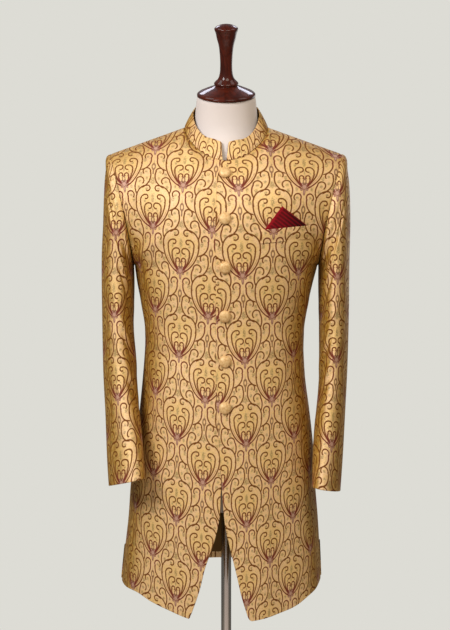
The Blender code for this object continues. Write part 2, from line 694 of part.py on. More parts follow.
def welt(name, look, home):
    """The breast pocket's welt: a strip that lies on the front and stands off at its mouth."""
    rows = []
    for up in (0.0, 0.30, 0.50, 0.75, 1.0):
        off = GAP + WELT_WALL + (SQUARE_WALL + GAP + 0.0001) * fade(up, 0.12, 0.50)
        row = []
        for k in range(POCKET_STEPS + 1):
            x = WELT_INNER[0] + (WELT_OUTER[0] - WELT_INNER[0]) * k / POCKET_STEPS
            row.append(on_front(x, welt_edge(x) - WELT_HEIGHT * (1 - up), off)[0])
        rows.append(row)
    return cloth_piece(name, rows, WELT_WALL, look, home)


def pocket_square(name, home):
    """The folded pocket square: a peak that stands behind the welt's mouth."""
    left, right = SQUARE_BASE
    peak_x, peak_z = SQUARE_PEAK
    off = GAP + SQUARE_WALL
    rows = []
    for up in (0.0, 1.0):
        row = []
        for k in range(POCKET_STEPS + 1):
            x = left + (right - left) * k / POCKET_STEPS
            row.append(on_front(x, welt_edge(x) - SQUARE_HIDDEN * (1 - up), off)[0])
        rows.append(row)
    for up in (0.25, 0.50, 0.74, 0.95):
        row = []
        for k in range(POCKET_STEPS + 1):
            base_x = left + (right - left) * k / POCKET_STEPS
            x = base_x + (peak_x - base_x) * up
            z = welt_edge(base_x) + (peak_z - welt_edge(base_x)) * up
            row.append(on_front(x, z, off)[0])
        rows.append(row)
    return cloth_piece(name, rows, SQUARE_WALL, DEEP_RED, home)


# ---------------------------------------------------------------- dress form and stand
def form_ring(half_width, front, back, middle_y, z, exponent):
    """One level ring of the form."""
    ring = []
    for j in range(FORM_AROUND):
        angle = 2 * pi * j / FORM_AROUND
        x, y = superellipse(angle, half_width, front if cos(angle) > 0 else back, exponent)
        ring.append(Vector((x, middle_y - y, z)))
    return ring


def ridge_x(z):
    """Half width of the form at height z on the shoulder ridge, just under the coat's shoulder seam."""
    slope = (neckline(pi / 2).z - SHOULDER_TIP.z) / (SHOULDER_TIP.x - NECK_HALF_WIDTH)
    below = (WALL + SEAT_GAP) * sqrt(1 + slope * slope)
    return NECK_HALF_WIDTH + (neckline(pi / 2).z - below - z) / slope


def ridge_y(z):
    """Middle of the form at height z on the shoulder ridge: the seam moves back as it drops."""
    along = (ridge_x(z) - NECK_HALF_WIDTH) / (SHOULDER_TIP.x - NECK_HALF_WIDTH)
    return neckline(pi / 2).y + (SHOULDER_TIP.y - neckline(pi / 2).y) * along


def dress_form(name, home):
    """Torso and neck in one smooth body."""
    rings = []
    for z, half_width, front, back, middle_y, exponent in FORM_RINGS:
        rings.append(form_ring(half_width, front, back, middle_y, z, exponent))
    crest = neckline(pi / 2).z - WALL
    for down, front, back, exponent in SHOULDER_RIDGE_RINGS:
        z = crest - down
        rings.append(form_ring(ridge_x(z), front, back, ridge_y(z), z, exponent))
    tilt = Matrix.Rotation(NECK_TILT, 3, 'X')
    for high, half_width, half_depth in NECK_RINGS:
        ring = form_ring(half_width, half_depth, half_depth, 0.0, high, 2.0)
        lean = tilt if high > 0.01 else Matrix.Rotation(NECK_TILT * 0.6, 3, 'X')
        rings.append([NECK_FOOT + lean @ place for place in ring])
    return loft(name, rings, FORM_CLOTH, home)


def neck_cap(name, home):
    """The turned cap on the neck, with its finial, square to the tilted neck."""
    made = turned(name, CAP_PROFILE, CAP_STEPS, DARK_WOOD, home)
    tilt = Matrix.Rotation(NECK_TILT, 3, 'X')
    top = NECK_FOOT + tilt @ Vector((0.0, 0.0, NECK_RINGS[-1][0] + GAP))
    made.matrix_world = Matrix.Translation(top) @ tilt.to_4x4()
    return made


def pole(name, home):
    """The straight pole between the base's boss and the form."""
    low = BOSS_HEIGHT + GAP
    high = FORM_BOTTOM_Z - GAP
    bpy.ops.mesh.primitive_cylinder_add(vertices=24, radius=POLE_RADIUS, depth=high - low,
                                        location=(0.0, 0.0, 0.5 * (low + high)))
    made = bpy.context.object
    made.name = name
    made.data.materials.append(material(name + "_material", CHROME))
    for old in list(made.users_collection):
        old.objects.unlink(made)
    home.objects.link(made)
    made.data.shade_smooth()
    made.data.set_sharp_from_angle(angle=radians(40))
    return made


def base(name, home):
    """The round base: a low disc with a boss that takes the pole."""
    profile = [
        (0.0, BOSS_HEIGHT), (0.0165, BOSS_HEIGHT), (0.0190, BOSS_HEIGHT - 0.0030), (0.0200, 0.026),
        (0.0260, BASE_HEIGHT + 0.003), (0.0400, BASE_HEIGHT), (BASE_RADIUS - 0.030, BASE_HEIGHT - 0.002),
        (BASE_RADIUS - 0.006, BASE_EDGE), (BASE_RADIUS, BASE_EDGE - 0.004), (BASE_RADIUS, 0.0),
        (0.0, 0.0),
    ]
    return turned(name, profile, 32, CHROME, home)


# ---------------------------------------------------------------- the whole
def main():
    for old in list(bpy.data.objects):
        bpy.data.objects.remove(old, do_unlink=True)
    home = collection("sherwani_coat_on_dress_form")
    front_panel("front_wearers_right", -1, BROCADE, home)
    front_panel("front_wearers_left", 1, BROCADE, home)
    back_panel("back", BROCADE, home)
    sleeve("sleeve_wearers_right", -1, BROCADE, home)
    sleeve("sleeve_wearers_left", 1, BROCADE, home)
    collar("collar", BROCADE, home)
    welt("pocket_welt", BROCADE, home)
    pocket_square("pocket_square", home)
    for index in range(len(BUTTON_Z)):
        button(f"button_{index + 1}", index, home)
    dress_form("dress_form", home)
    neck_cap("neck_cap", home)
    pole("pole", home)
    base("base", home)


main()
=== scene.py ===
"""Brocade sherwani coat on a limbless dress form: the looks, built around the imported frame.

Metres, +Z up. The coat faces -Y and +X is the wearer's left.
"""
from functools import partial
from math import cos, pi, radians, sin

import bpy
import numpy as np
from bpy.props import FloatProperty, FloatVectorProperty, PointerProperty
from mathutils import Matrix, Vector


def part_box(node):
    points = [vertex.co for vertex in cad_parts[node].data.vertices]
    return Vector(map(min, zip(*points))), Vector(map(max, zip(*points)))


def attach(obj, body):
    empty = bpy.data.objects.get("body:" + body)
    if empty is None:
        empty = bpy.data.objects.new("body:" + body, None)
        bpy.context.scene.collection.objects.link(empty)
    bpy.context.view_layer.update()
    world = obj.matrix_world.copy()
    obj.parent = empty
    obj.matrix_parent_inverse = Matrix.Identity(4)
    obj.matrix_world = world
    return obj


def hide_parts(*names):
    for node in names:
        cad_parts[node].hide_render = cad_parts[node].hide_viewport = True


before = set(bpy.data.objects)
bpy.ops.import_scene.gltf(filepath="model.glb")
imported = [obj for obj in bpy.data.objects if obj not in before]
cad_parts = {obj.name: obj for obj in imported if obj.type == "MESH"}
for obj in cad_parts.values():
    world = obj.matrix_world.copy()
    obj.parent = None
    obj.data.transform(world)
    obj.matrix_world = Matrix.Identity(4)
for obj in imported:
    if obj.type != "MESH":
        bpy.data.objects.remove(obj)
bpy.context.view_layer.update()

bl_info = {
    "name": "Sherwani coat on a dress form",
    "version": (1, 0, 0),
    "blender": (4, 5, 0),
    "location": "3D View > Sidebar > Sherwani",
    "description": "Builds a brocade coat with its buttons, pocket square, dress form and stand",
    "category": "Object",
}

# ---------------------------------------------------------------- sizes the cut follows
ARMPIT_Z = 1.207
CHEST_Z = 1.250          # the body rounds over towards the shoulders above this height
TOP_LEVEL = 1.42         # level of the neckline and the shoulder seam; 0 is the hem, 1 the armpit
STRAIGHT_LEVELS = (0.90, 0.95, 1.0)   # where the upper curves take over from the straight sections
NECK_COLUMN = 0.40       # column at which the neckline turns into the shoulder seam
SLIT_TOP_LEVEL = 0.36
SLIT_OPEN = 0.0022
FRONT_FACING = 0.060     # brocade turned in along a front's edge, and below the neck in levels
NECK_FACING = 0.03
FRONT_HEIGHT, BACK_HEIGHT = 0.65, 0.61   # hem to armpit
GAP = 0.0003             # between pieces that meet
ARMPIT_EASE = 0.0002
EDGE_BULGE = 0.4         # how far a wall's edge bulges, in walls
COLUMN_WIDTH = 0.24      # about the width of one column, and the heights of one level, in metres
LEVEL_HEIGHT = 0.62
SHOULDER_LEVEL_HEIGHT = 0.8

NECK_HALF_WIDTH = 0.0789
NECK_HALF_DEPTH = 0.0750
NECK_MIDDLE = (-0.0130, 1.4546)   # y, z
NECK_FRONT_DROP = 0.0405
NECK_SIDE_LIFT = 0.0131
SHOULDER_TIP = np.array([0.2220, 0.0100, 1.4185])
ARMPIT_X = 0.1775
ARMHOLE_HALF_DEPTH = 0.078
ARMHOLE_TURNS = ((1.0, 1.13, 1.27, TOP_LEVEL), (1.0, 0.60, 0.31, 0.0))   # levels, shares of half a turn
NECK_TILT = radians(19.0)
NECK_FOOT = np.array([0.0, 0.0, 1.4640])

# Body sections below the armpit: height, half width to -X, half width to +X, depth to the front, to the back
SECTIONS = np.array([
    (0.540, 0.2070, 0.1860, 0.1500, 0.1500),
    (0.600, 0.2022, 0.1834, 0.1480, 0.1490),
    (0.650, 0.1973, 0.1815, 0.1455, 0.1470),
    (0.720, 0.1893, 0.1775, 0.1410, 0.1440),
    (0.780, 0.1850, 0.1725, 0.1370, 0.1410),
    (0.860, 0.1757, 0.1680, 0.1310, 0.1380),
    (0.930, 0.1670, 0.1602, 0.1260, 0.1330),
    (0.990, 0.1609, 0.1523, 0.1200, 0.1240),
    (1.040, 0.1570, 0.1495, 0.1160, 0.1140),
    (1.080, 0.1560, 0.1497, 0.1150, 0.1080),
    (1.130, 0.1634, 0.1578, 0.1190, 0.1120),
    (1.170, 0.1715, 0.1670, 0.1240, 0.1180),
    (1.207, 0.1768, 0.1765, 0.1280, 0.1220),
    (1.240, 0.1780, 0.1780, 0.1300, 0.1240),
])
ROUNDNESS = 2.3
ROW_STEP = 0.2

# Upper rows, from the centre to the armhole: level, points
FRONT_ROWS = [
    (1.13, [(0.000, -0.1310, 1.290), (0.043, -0.1300, 1.290), (0.088, -0.1230, 1.291),
            (0.130, -0.1080, 1.292), (0.163, -0.0890, 1.291), (0.1880, -0.0720, 1.290)]),
    (1.27, [(0.000, -0.1130, 1.352), (0.044, -0.1130, 1.354), (0.090, -0.1050, 1.360),
            (0.134, -0.0880, 1.368), (0.174, -0.0700, 1.372), (0.2080, -0.0560, 1.372)]),
]
BACK_ROWS = [
    (1.13, [(0.000, 0.1190, 1.290), (0.043, 0.1210, 1.290), (0.088, 0.1190, 1.291),
            (0.130, 0.1090, 1.292), (0.163, 0.0940, 1.291), (0.1900, 0.0820, 1.290)]),
    (1.29, [(0.000, 0.0900, 1.402), (0.043, 0.0900, 1.400), (0.088, 0.0850, 1.397),
            (0.132, 0.0760, 1.391), (0.174, 0.0660, 1.384), (0.2100, 0.0580, 1.376)]),
]

# The two front edges: height, x
TOP_EDGE = np.array([(0.5495, 0.0500), (0.5530, 0.0447), (0.5575, 0.0415), (0.5640, 0.0392), (0.593, 0.0301),
                     (0.639, 0.0194), (0.682, 0.0087), (0.722, -0.0005),
                     (0.765, -0.0052), (0.805, -0.0080), (0.860, -0.0115), (0.920, -0.0160), (0.960, -0.0176),
                     (1.140, -0.0180), (1.317, -0.0180), (1.355, -0.0160), (1.398, -0.0090)])
UNDER_EDGE = np.array([(0.545, -0.0735), (0.570, -0.0632), (0.611, -0.0493), (0.648, -0.0402), (0.691, -0.0249),
                       (0.734, -0.0142), (0.807, -0.0085), (0.850, 0.0010), (0.900, 0.0150), (0.940, 0.0200),
                       (1.140, 0.0210), (1.317, 0.0200), (1.355, 0.0170), (1.398, 0.0100)])

# Hem of each front from its centre to its side seam: column, height
HEM_FRONT = {
    -1: [(0.0, 0.5480), (0.15, 0.5500), (0.30, 0.5566), (0.39, 0.5640), (0.50, 0.5738), (0.57, 0.5815),
         (0.66, 0.5930), (0.80, 0.5968), (1.0, 0.5975)],
    1: [(0.0, 0.5490), (0.18, 0.5511), (0.40, 0.5610), (0.55, 0.5732), (0.66, 0.5885), (0.80, 0.5985),
        (1.0, 0.6030)],
}
HEM_SIDE = {side: table[-1][1] for side, table in HEM_FRONT.items()}
HEM_BACK = 0.6020
FRONT_FOLDS = {1: [(62, 9, 0.0050), (38, 8, -0.0030)], -1: [(66, 9, 0.0040), (42, 9, -0.0030)]}
BACK_FOLDS = {1: [(52, 10, 0.0045), (26, 10, -0.0030)], -1: [(52, 10, 0.0045), (26, 10, -0.0030)]}
FOLD_TOP_Z, FOLD_WHOLE_Z = 1.02, 0.60
LAP_EASE_X = (0.028, 0.062)   # where the top front comes down to the body again, across and down the skirt
LAP_EASE_Z = (0.70, 0.82)

SLEEVE_FOLD = radians(165)
SLEEVE_HEAD_STRIP = 0.003
SLEEVE_EASE = 0.0003
CROWN_NORMAL = (0.33, 0.94)   # how a sleeve faces at the shoulder tip: outwards, up
# Sleeve rings: outer height, outer x, inner height, inner x, middle y, half depth, turn in degrees,
# and how much higher the front lies than the middle
SLEEVE_RINGS = {
    1: [(1.386, 0.2330, 1.188, 0.1780, 0.004, 0.0790, 0, 0.000),
        (1.345, 0.2368, 1.160, 0.1780, 0.002, 0.0785, 0, 0.000),
        (1.285, 0.2385, 1.125, 0.1782, 0.000, 0.0770, 2, 0.000),
        (1.205, 0.2374, 1.080, 0.1784, -0.003, 0.0740, 4, 0.000),
        (1.105, 0.2365, 1.025, 0.1780, -0.010, 0.0700, 6, 0.000),
        (1.010, 0.2333, 0.965, 0.1752, -0.024, 0.0660, 8, 0.000),
        (0.925, 0.2275, 0.903, 0.1672, -0.046, 0.0620, 10, 0.002),
        (0.850, 0.2215, 0.845, 0.1620, -0.072, 0.0580, 12, 0.005),
        (0.7855, 0.2153, 0.7925, 0.1595, -0.096, 0.0555, 14, 0.008)],
    -1: [(1.386, 0.2310, 1.188, 0.1775, 0.004, 0.0790, 0, 0.000),
         (1.345, 0.2340, 1.160, 0.1772, 0.002, 0.0785, 0, 0.000),
         (1.285, 0.2365, 1.125, 0.1775, 0.000, 0.0770, 2, 0.000),
         (1.215, 0.2398, 1.080, 0.1776, -0.003, 0.0740, 4, 0.000),
         (1.105, 0.2390, 1.025, 0.1722, -0.012, 0.0700, 7, 0.000),
         (1.005, 0.2362, 0.960, 0.1672, -0.034, 0.0650, 13, 0.000),
         (0.925, 0.2300, 0.903, 0.1592, -0.066, 0.0610, 19, 0.003),
         (0.850, 0.2245, 0.850, 0.1525, -0.100, 0.0570, 24, 0.007),
         (0.8025, 0.2195, 0.8095, 0.1479, -0.122, 0.0540, 26, 0.012)],
}

# Collar: height of the band at distances along the neck seam from its front ends
COLLAR_HEIGHTS = np.array([
    (0.000, 0.0355), (0.030, 0.0335), (0.045, 0.0285), (0.069, 0.0235), (0.090, 0.0225),
    (0.110, 0.0245), (0.140, 0.0275), (0.170, 0.0305), (0.248, 0.0330),
])
COLLAR_LEAN = 0.0155
COLLAR_CORNER = 0.008
CORNER_DROP = 0.62       # how far the rounded corner falls, in COLLAR_CORNER
NOTCH_REACH = 0.030      # length of the band over which it leaves the notch
COLLAR_SEAT = 0.0004
COLLAR_BELLY = 0.0010
NOTCH_X = -0.0030
NOTCH_HALF_TOP = 0.0058
NOTCH_HALF_FOOT = 0.0032

BUTTON_X = -0.0023
BUTTON_Z = [1.3762, 1.2923, 1.2033, 1.1132, 1.0290, 0.9439]
BUTTON_SEAT = 0.00055
DOME_FOOT = 0.0016       # where the dome meets the button's rim

WELT_INNER = (0.0640, 1.2712)
WELT_OUTER = (0.1560, 1.2802)
WELT_HEIGHT = 0.024
WELT_WALL = 0.0015
SQUARE_BASE = (0.0698, 0.1496)
SQUARE_PEAK = (0.1021, 1.3151)
SQUARE_HIDDEN = 0.010
SQUARE_WALL = 0.0012
PLEAT_CREST = 0.8        # share of a pleat that rises
PLEAT_RISE = 0.0014

# How the pattern lies on each piece, across and up: shares of 1, u, h, u h and h h, h being the height above
# LIE_HEIGHT in metres. The fronts' grain leans a little, and their repeat narrows down the flared skirt.
PATTERN_LIE = {
    "front_right": ((0.0356, 1.047, -0.054, -0.30, -0.023), (-0.1605, 0.095, 0.955, -0.09, -0.067)),
    "front_left": ((-0.0340, 1.039, 0.045, -0.51, 0.033), (-0.2330, -0.059, 0.953, 0.13, -0.094)),
    "back": ((0.0, 1.04, 0.0, 0.0, 0.0), (-0.1650, 0.0, 0.955, 0.0, 0.0)),
    "sleeve_right": ((0.0075, 1.0, -0.042, 0.0, 0.0), (-0.1650, 0.0, 0.983, 0.0, 0.0)),
    "sleeve_left": ((-0.0046, 1.0, 0.018, 0.0, 0.0), (-0.2339, 0.0, 0.969, 0.0, 0.0)),
    "collar": ((-0.0300, 1.0, 0.0, 0.0, 0.0), (1.1200, 0.0, 1.0, 0.0, 0.0)),
}
LIE_HEIGHT = 1.1
SIDES = {-1: "right", 1: "left"}   # the wearer's


# ---------------------------------------------------------------- curves and surfaces
def through(x, knots, values, end_slope=None):
    """Cubic curve through values at knots; each slope is the weighted mean of the chords beside it.

    values is one number or point for each knot, or a stack with one array of points for each knot.
    """
    x = np.asarray(x, float)
    knots = np.asarray(knots, float)
    values = np.asarray(values, float)
    wide = np.diff(knots).reshape((-1,) + (1,) * (values.ndim - 1))
    chords = np.diff(values, axis=0) / wide
    inner = (chords[:-1] * wide[1:] + chords[1:] * wide[:-1]) / (wide[1:] + wide[:-1])
    slopes = np.concatenate([chords[:1], inner, chords[-1:]])
    if end_slope is not None:
        slopes[-1] = end_slope
    i = np.clip(np.searchsorted(knots, x) - 1, 0, len(knots) - 2)
    step = knots[i + 1] - knots[i]
    t = (x - knots[i]) / step
    if values.ndim == x.ndim + 2:
        def pick(stack, k):
            """Each place's own k-th point of the stack."""
            return np.take_along_axis(stack, k[None, ..., None], 0)[0]
    else:
        def pick(stack, k):
            """The k-th value."""
            return stack[k]
    if values.ndim > 1:
        t = t[..., None]
        step = step[..., None]
    t2 = t * t
    t3 = t2 * t
    return (pick(values, i) * (2 * t3 - 3 * t2 + 1) + pick(slopes, i) * step * (t3 - 2 * t2 + t)
            + pick(values, i + 1) * (3 * t2 - 2 * t3) + pick(slopes, i + 1) * step * (t3 - t2))


def fade(x, start, end):
    """0 at start, 1 at end, smooth between."""
    t = np.clip((np.asarray(x, float) - start) / (end - start), 0, 1)
    return t * t * (3 - 2 * t)


def mix(a, b, share):
    """a where share is 0, b where it is 1."""
    return a + (b - a) * share


def unit(vectors):
    """Vectors brought to length 1."""
    return vectors / np.maximum(np.linalg.norm(vectors, axis=-1, keepdims=True), 1e-12)


def xyz(x, y, z):
    """Three coordinates, broadcast and stacked to points."""
    return np.stack(np.broadcast_arrays(x, y, z), -1).astype(float)


def superellipse(angle, half_width, depth, exponent):
    """x and forward distance at a polar angle: radius = (|sin|/a)^n + (|cos|/b)^n, to the power -1/n."""
    size = (np.abs(np.sin(angle)) / half_width) ** exponent + (np.abs(np.cos(angle)) / depth) ** exponent
    radius = size ** (-1.0 / exponent)
    return radius * np.sin(angle), radius * np.cos(angle)


def neckline(turn):
    """Neck seam: an ellipse seen from above whose height falls to the front and lifts at the sides."""
    height = NECK_MIDDLE[1] - NECK_FRONT_DROP * np.cos(turn) - NECK_SIDE_LIFT * np.cos(2 * turn)
    return xyz(NECK_HALF_WIDTH * np.sin(turn), NECK_MIDDLE[0] - NECK_HALF_DEPTH * np.cos(turn), height)


def armhole(turn, side, face):
    """Armhole seam from the shoulder tip (0) to the armpit (pi): height and x follow half of 1 + cos."""
    up = 0.5 * (1 + np.cos(turn))
    x = ARMPIT_X + (SHOULDER_TIP[0] - ARMPIT_X) * up ** 1.5
    y = SHOULDER_TIP[1] * up + face * ARMHOLE_HALF_DEPTH * np.sin(turn)
    return xyz(side * x, y, ARMPIT_Z + (SHOULDER_TIP[2] - ARMPIT_Z) * up)


def armhole_turn(level):
    """How far round the armhole a level reaches."""
    return pi * through(level, *ARMHOLE_TURNS)


def armhole_level(turn):
    """Level at which a turn of the armhole lies, by reading the function above backwards."""
    scale = np.linspace(1.0, TOP_LEVEL, 2000)
    return np.interp(-np.asarray(turn), -armhole_turn(scale), scale)


def hem_height(column, side, face):
    """Height of the hem at a column."""
    if face > 0:
        return HEM_BACK + (HEM_SIDE[side] - HEM_BACK) * fade(column, 0.0, 1.0)
    columns, heights = zip(*HEM_FRONT[side])
    return through(np.abs(column), columns, heights)


def skirt_fold(column, side, face, z):
    """How far the hanging folds lift the skirt: bell curves round the body that grow downwards."""
    folds = (FRONT_FOLDS if face < 0 else BACK_FOLDS)[side]
    return fade(z, FOLD_TOP_Z, FOLD_WHOLE_Z) * sum(
        height * np.exp(-((90 * column - at) / width) ** 2) for at, width, height in folds)


def lower_point(column, side, face, z):
    """Body below the armpit: level superellipses whose half widths and depths follow the table."""
    heights = SECTIONS[:, 0]
    half_width = np.where(side * column < 0, through(z, heights, SECTIONS[:, 1]), through(z, heights, SECTIONS[:, 2]))
    depth = through(z, heights, SECTIONS[:, 3 if face < 0 else 4])
    x, y = superellipse(column * pi / 2, half_width, depth, ROUNDNESS)
    scale = 1 + skirt_fold(column, side, face, z) / np.hypot(x, y)
    return xyz(side * x * scale, face * y * scale, z)


def row_point(column, side, points):
    """A point of an upper row, mirrored across the centre."""
    place = through(np.abs(column), ROW_STEP * np.arange(len(points)), points)
    place[..., 0] *= side * np.where(column >= 0, 1, -1)
    return place


def top_point(column, side, face):
    """Neckline up to the neck's side, then straight along the shoulder seam to its tip."""
    turn = np.clip(column / NECK_COLUMN, -1, 1) * (pi / 2)
    neck = neckline(turn if face < 0 else pi - turn)
    along = np.clip((column - NECK_COLUMN) / (1 - NECK_COLUMN), 0, 1)[..., None]
    place = np.where(along > 0, mix(neckline(pi / 2), SHOULDER_TIP, along), neck)
    return place * np.array([side, 1, 1])


def top_slope(column, side, face):
    """Direction in which the cloth arrives at its top edge: rising at the neck, level over the shoulder."""
    over = fade(np.abs(column), 0.06, NECK_COLUMN)[..., None]
    along = fade(np.abs(column), NECK_COLUMN, 0.7)[..., None]
    neck_side = np.array([-0.10, -0.75, 0.03])
    shoulder = np.array([0.0, -0.80, 0.0])
    return mix(np.array([0.0, -0.38, 0.60]), mix(neck_side, shoulder, along), over) * np.array([side, face, 1])


def body_point(column, level, side, face):
    """Outer face of the coat's body: straight sections up to the armpit, then curves over the shoulder."""
    column, level = np.broadcast_arrays(np.asarray(column, float), np.asarray(level, float))
    rows = FRONT_ROWS if face < 0 else BACK_ROWS
    knots = [*STRAIGHT_LEVELS, *(row[0] for row in rows), TOP_LEVEL]

    def reached(at):
        """The curve up a column, before it is moved to meet the armhole."""
        foot = hem_height(at, side, face)
        places = [lower_point(at, side, face, foot + (ARMPIT_Z - foot) * k) for k in STRAIGHT_LEVELS]
        places += [row_point(at, side, row[1]) for row in rows] + [top_point(at, side, face)]
        return through(level, knots, np.stack(places), top_slope(at, side, face))

    foot = hem_height(column, side, face)
    lower = lower_point(column, side, face, foot + (ARMPIT_Z - foot) * level)
    miss = armhole(armhole_turn(level), side, face) - reached(np.ones_like(column))
    share = fade(column, 0.4, 1.0) ** 2 * (level > 1.0)
    upper = reached(column) + miss * share[..., None]
    return np.where(level[..., None] <= STRAIGHT_LEVELS[1], lower, upper)


def face_out(normals, points):
    """Turns normals away from the body's middle line."""
    middle = np.array([0.0, 0.0, 1.0]) * np.minimum(points[..., 2:], CHEST_Z)
    sign = np.where(((points - middle) * normals).sum(-1, keepdims=True) < 0, -1.0, 1.0)
    return normals * sign


def outward(column, level, side, face):
    """Unit normal of the body's outer face, from points a little way off each way."""
    step = 0.004
    across = body_point(column + step, level, side, face) - body_point(column - step, level, side, face)
    high = np.minimum(level + step, TOP_LEVEL)
    up = body_point(column, high, side, face) - body_point(column, level - step, side, face)
    return face_out(unit(np.cross(across, up)), body_point(column, level, side, face))


def lap_lift(x, z):
    """How far the top front stands off near the centre, where the other front lies beneath it."""
    lift = coat().wall + coat().lap_ease
    return lift * (1 - fade(x, *LAP_EASE_X)) * fade(z, *LAP_EASE_Z)


def front_point(column, level, side):
    """Outer face of a front, with the lap's lift on the wearer's left one."""
    place = body_point(column, level, side, -1)
    if side > 0:
        column, level = np.broadcast_arrays(column, level)
        forward = np.array([0.0, -1.0, 0.0])
        away = mix(outward(column, level, side, -1), forward, fade(level, 1.30, TOP_LEVEL)[..., None])
        place = place + away * lap_lift(place[..., 0], place[..., 2])[..., None]
    return place


def edge_column(level, side):
    """Column at which a front's edge crosses each level, by halving."""
    table = TOP_EDGE if side > 0 else UNDER_EDGE
    low = np.full(level.shape, -0.40)
    high = np.full(level.shape, 0.60)
    for _ in range(24):
        middle = 0.5 * (low + high)
        place = body_point(middle, level, side, -1)
        outside = side * (place[..., 0] - through(place[..., 2], table[:, 0], table[:, 1])) < 0
        low = np.where(outside, middle, low)
        high = np.where(outside, high, middle)
    return 0.5 * (low + high)


def locate(x, z):
    """Column and level of the wearer's left front at x and height, by walking there."""
    column = np.full(np.shape(x), 0.3)
    level = np.full(np.shape(x), 1.1)
    for _ in range(40):
        place = body_point(column, level, 1, -1)
        column = column + (x - place[..., 0]) / COLUMN_WIDTH
        level = level + (z - place[..., 2]) / LEVEL_HEIGHT
    return column, level


def on_front(x, z, lift):
    """Points of the wearer's left front at x and z, moved out by lift."""
    column, level = locate(np.asarray(x, float), np.asarray(z, float))
    normal = outward(column, level, 1, -1)
    return front_point(column, level, 1) + normal * np.asarray(lift)[..., None], normal


# ---------------------------------------------------------------- meshes
def spaced(start, end, count, fine=(), fine_end=()):
    """Even numbers from start to end, with extra ones at the given distances from either end."""
    even = np.linspace(start, end, count + 1)
    return np.unique(np.concatenate([even, start + np.array(fine), end - np.array(fine_end)]))


def grid_normals(points, closed):
    """Unit normals of a grid of points: the cross product of its steps across and up."""
    if closed:
        across = np.roll(points, -1, 1) - np.roll(points, 1, 1)
    else:
        across = np.gradient(points, axis=1)
    return unit(np.cross(across, np.gradient(points, axis=0)))


def grid_quads(rows, columns, across):
    """Corner numbers of a grid's quads; a grid with as many quads across as columns closes on itself."""
    i, j = np.meshgrid(np.arange(rows - 1), np.arange(across), indexing="ij")
    i, j = i.ravel(), j.ravel()
    k = (j + 1) % columns
    return np.stack([i * columns + j, i * columns + k, (i + 1) * columns + k, (i + 1) * columns + j], 1)


def new_piece(name, vertices, faces, materials):
    """A smooth-shaded object at the origin that rides the root, from points and lists of point numbers."""
    mesh = bpy.data.meshes.new(name)
    mesh.from_pydata(vertices.tolist(), [], faces)
    for made in materials:
        mesh.materials.append(made)
    mesh.polygons.foreach_set("use_smooth", np.ones(len(faces), dtype=bool))
    mesh.update()
    made = bpy.data.objects.new(name, mesh)
    bpy.context.scene.collection.objects.link(made)
    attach(made, "root")
    return made


def border(grid):
    """The edges of a grid in turn, each without its last point: bottom, right, top and left."""
    return [grid[0, :-1], grid[:-1, -1], grid[-1, :0:-1], grid[:0:-1, 0]]


def looped(row):
    """A row with its first item again at its end."""
    return np.concatenate([row, row[:1]])


def shell(name, outer, wall, uv, materials, closed=False, round_edges=(1, 1, 1, 1), inside=None, inward=None):
    """A cloth wall: the outer grid, a copy moved in by the wall, and rounded strips round the open edges.

    round_edges says how far the bottom, right, top and left edges bulge, as shares of EDGE_BULGE walls.
    inside is true where an inner quad shows the second material. uv has one column more than outer on a closed tube.
    """
    rows, columns = outer.shape[:2]
    count = rows * columns
    if inward is None:
        normals = grid_normals(outer, closed)
        if ((outer - outer.mean((0, 1))) * normals).sum() < 0:
            normals = -normals
    else:
        normals = -inward
    flat_outer = outer.reshape(-1, 3)
    flat_inner = (outer - normals * wall).reshape(-1, 3)
    across = columns if closed else columns - 1
    quad = grid_quads(rows, columns, across)
    corner = flat_outer[quad]
    facing = np.cross(corner[:, 1] - corner[:, 0], corner[:, 3] - corner[:, 0])
    way = -1 if (facing * normals.reshape(-1, 3)[quad[:, 0]]).sum() < 0 else 1
    quad, quad_uv = quad[:, ::way], grid_quads(rows, uv.shape[1], across)[:, ::way]
    vertices = [flat_outer, flat_inner]
    faces = [quad, quad[:, ::-1] + count]
    face_uv = [quad_uv, quad_uv[:, ::-1]]

    grid = np.arange(count).reshape(rows, columns)
    uv_grid = np.arange(uv[..., 0].size).reshape(uv.shape[:2])
    if closed:
        even = np.ones(columns + 1)
        loops = [(looped(grid[0]), uv_grid[0], looped(outer[0] - outer[1]), even * round_edges[0]),
                 (looped(grid[-1])[::-1], uv_grid[-1][::-1], looped(outer[-1] - outer[-2])[::-1],
                  even * round_edges[2])]
    else:
        beside = [outer[1, :-1], outer[:-1, -2], outer[-2, :0:-1], outer[:0:-1, 1]]
        away = [edge - one for edge, one in zip(border(outer), beside)]
        amounts = [np.full(len(edge), amount) for edge, amount in zip(away, round_edges)]
        loops = [[looped(np.concatenate(parts)) for parts in (border(grid), border(uv_grid), away, amounts)]]
    start = 2 * count
    for ids, uvs, away, amount in loops:
        bulge = unit(away) * (amount * EDGE_BULGE * wall)[:, None]
        vertices.append((0.5 * (flat_outer[ids] + flat_inner[ids]) + bulge)[:-1])
        here = start + np.arange(len(ids) - 1)
        after = np.roll(here, -1)
        start += len(here)
        strip_uv = np.stack([uvs[1:], uvs[:-1], uvs[:-1], uvs[1:]], 1)[:, ::way]
        faces += [np.stack([ids[1:], ids[:-1], here, after], 1)[:, ::way],
                  np.stack([after, here, ids[:-1] + count, ids[1:] + count], 1)[:, ::way]]
        face_uv += [strip_uv, strip_uv]
    faces, vertices = np.concatenate(faces), np.concatenate(vertices)
    slots = np.zeros(len(faces), np.int32)
    if inside is not None:
        slots[len(quad):2 * len(quad)] = inside.ravel()
    made = new_piece(name, vertices, faces.tolist(), materials)
    made.data.uv_layers.new(name="cloth").data.foreach_set("uv", uv.reshape(-1, 2)[np.concatenate(face_uv)].ravel())
    made.data.polygons.foreach_set("material_index", slots)
    # The turned attribute carries painted shade: the brocade is coloured a deeper, darker gold where the cloth turns
    # to the side
    away = painted_side_shade(normals)
    set_painted_shade(made, np.concatenate([away, away]))
    return made


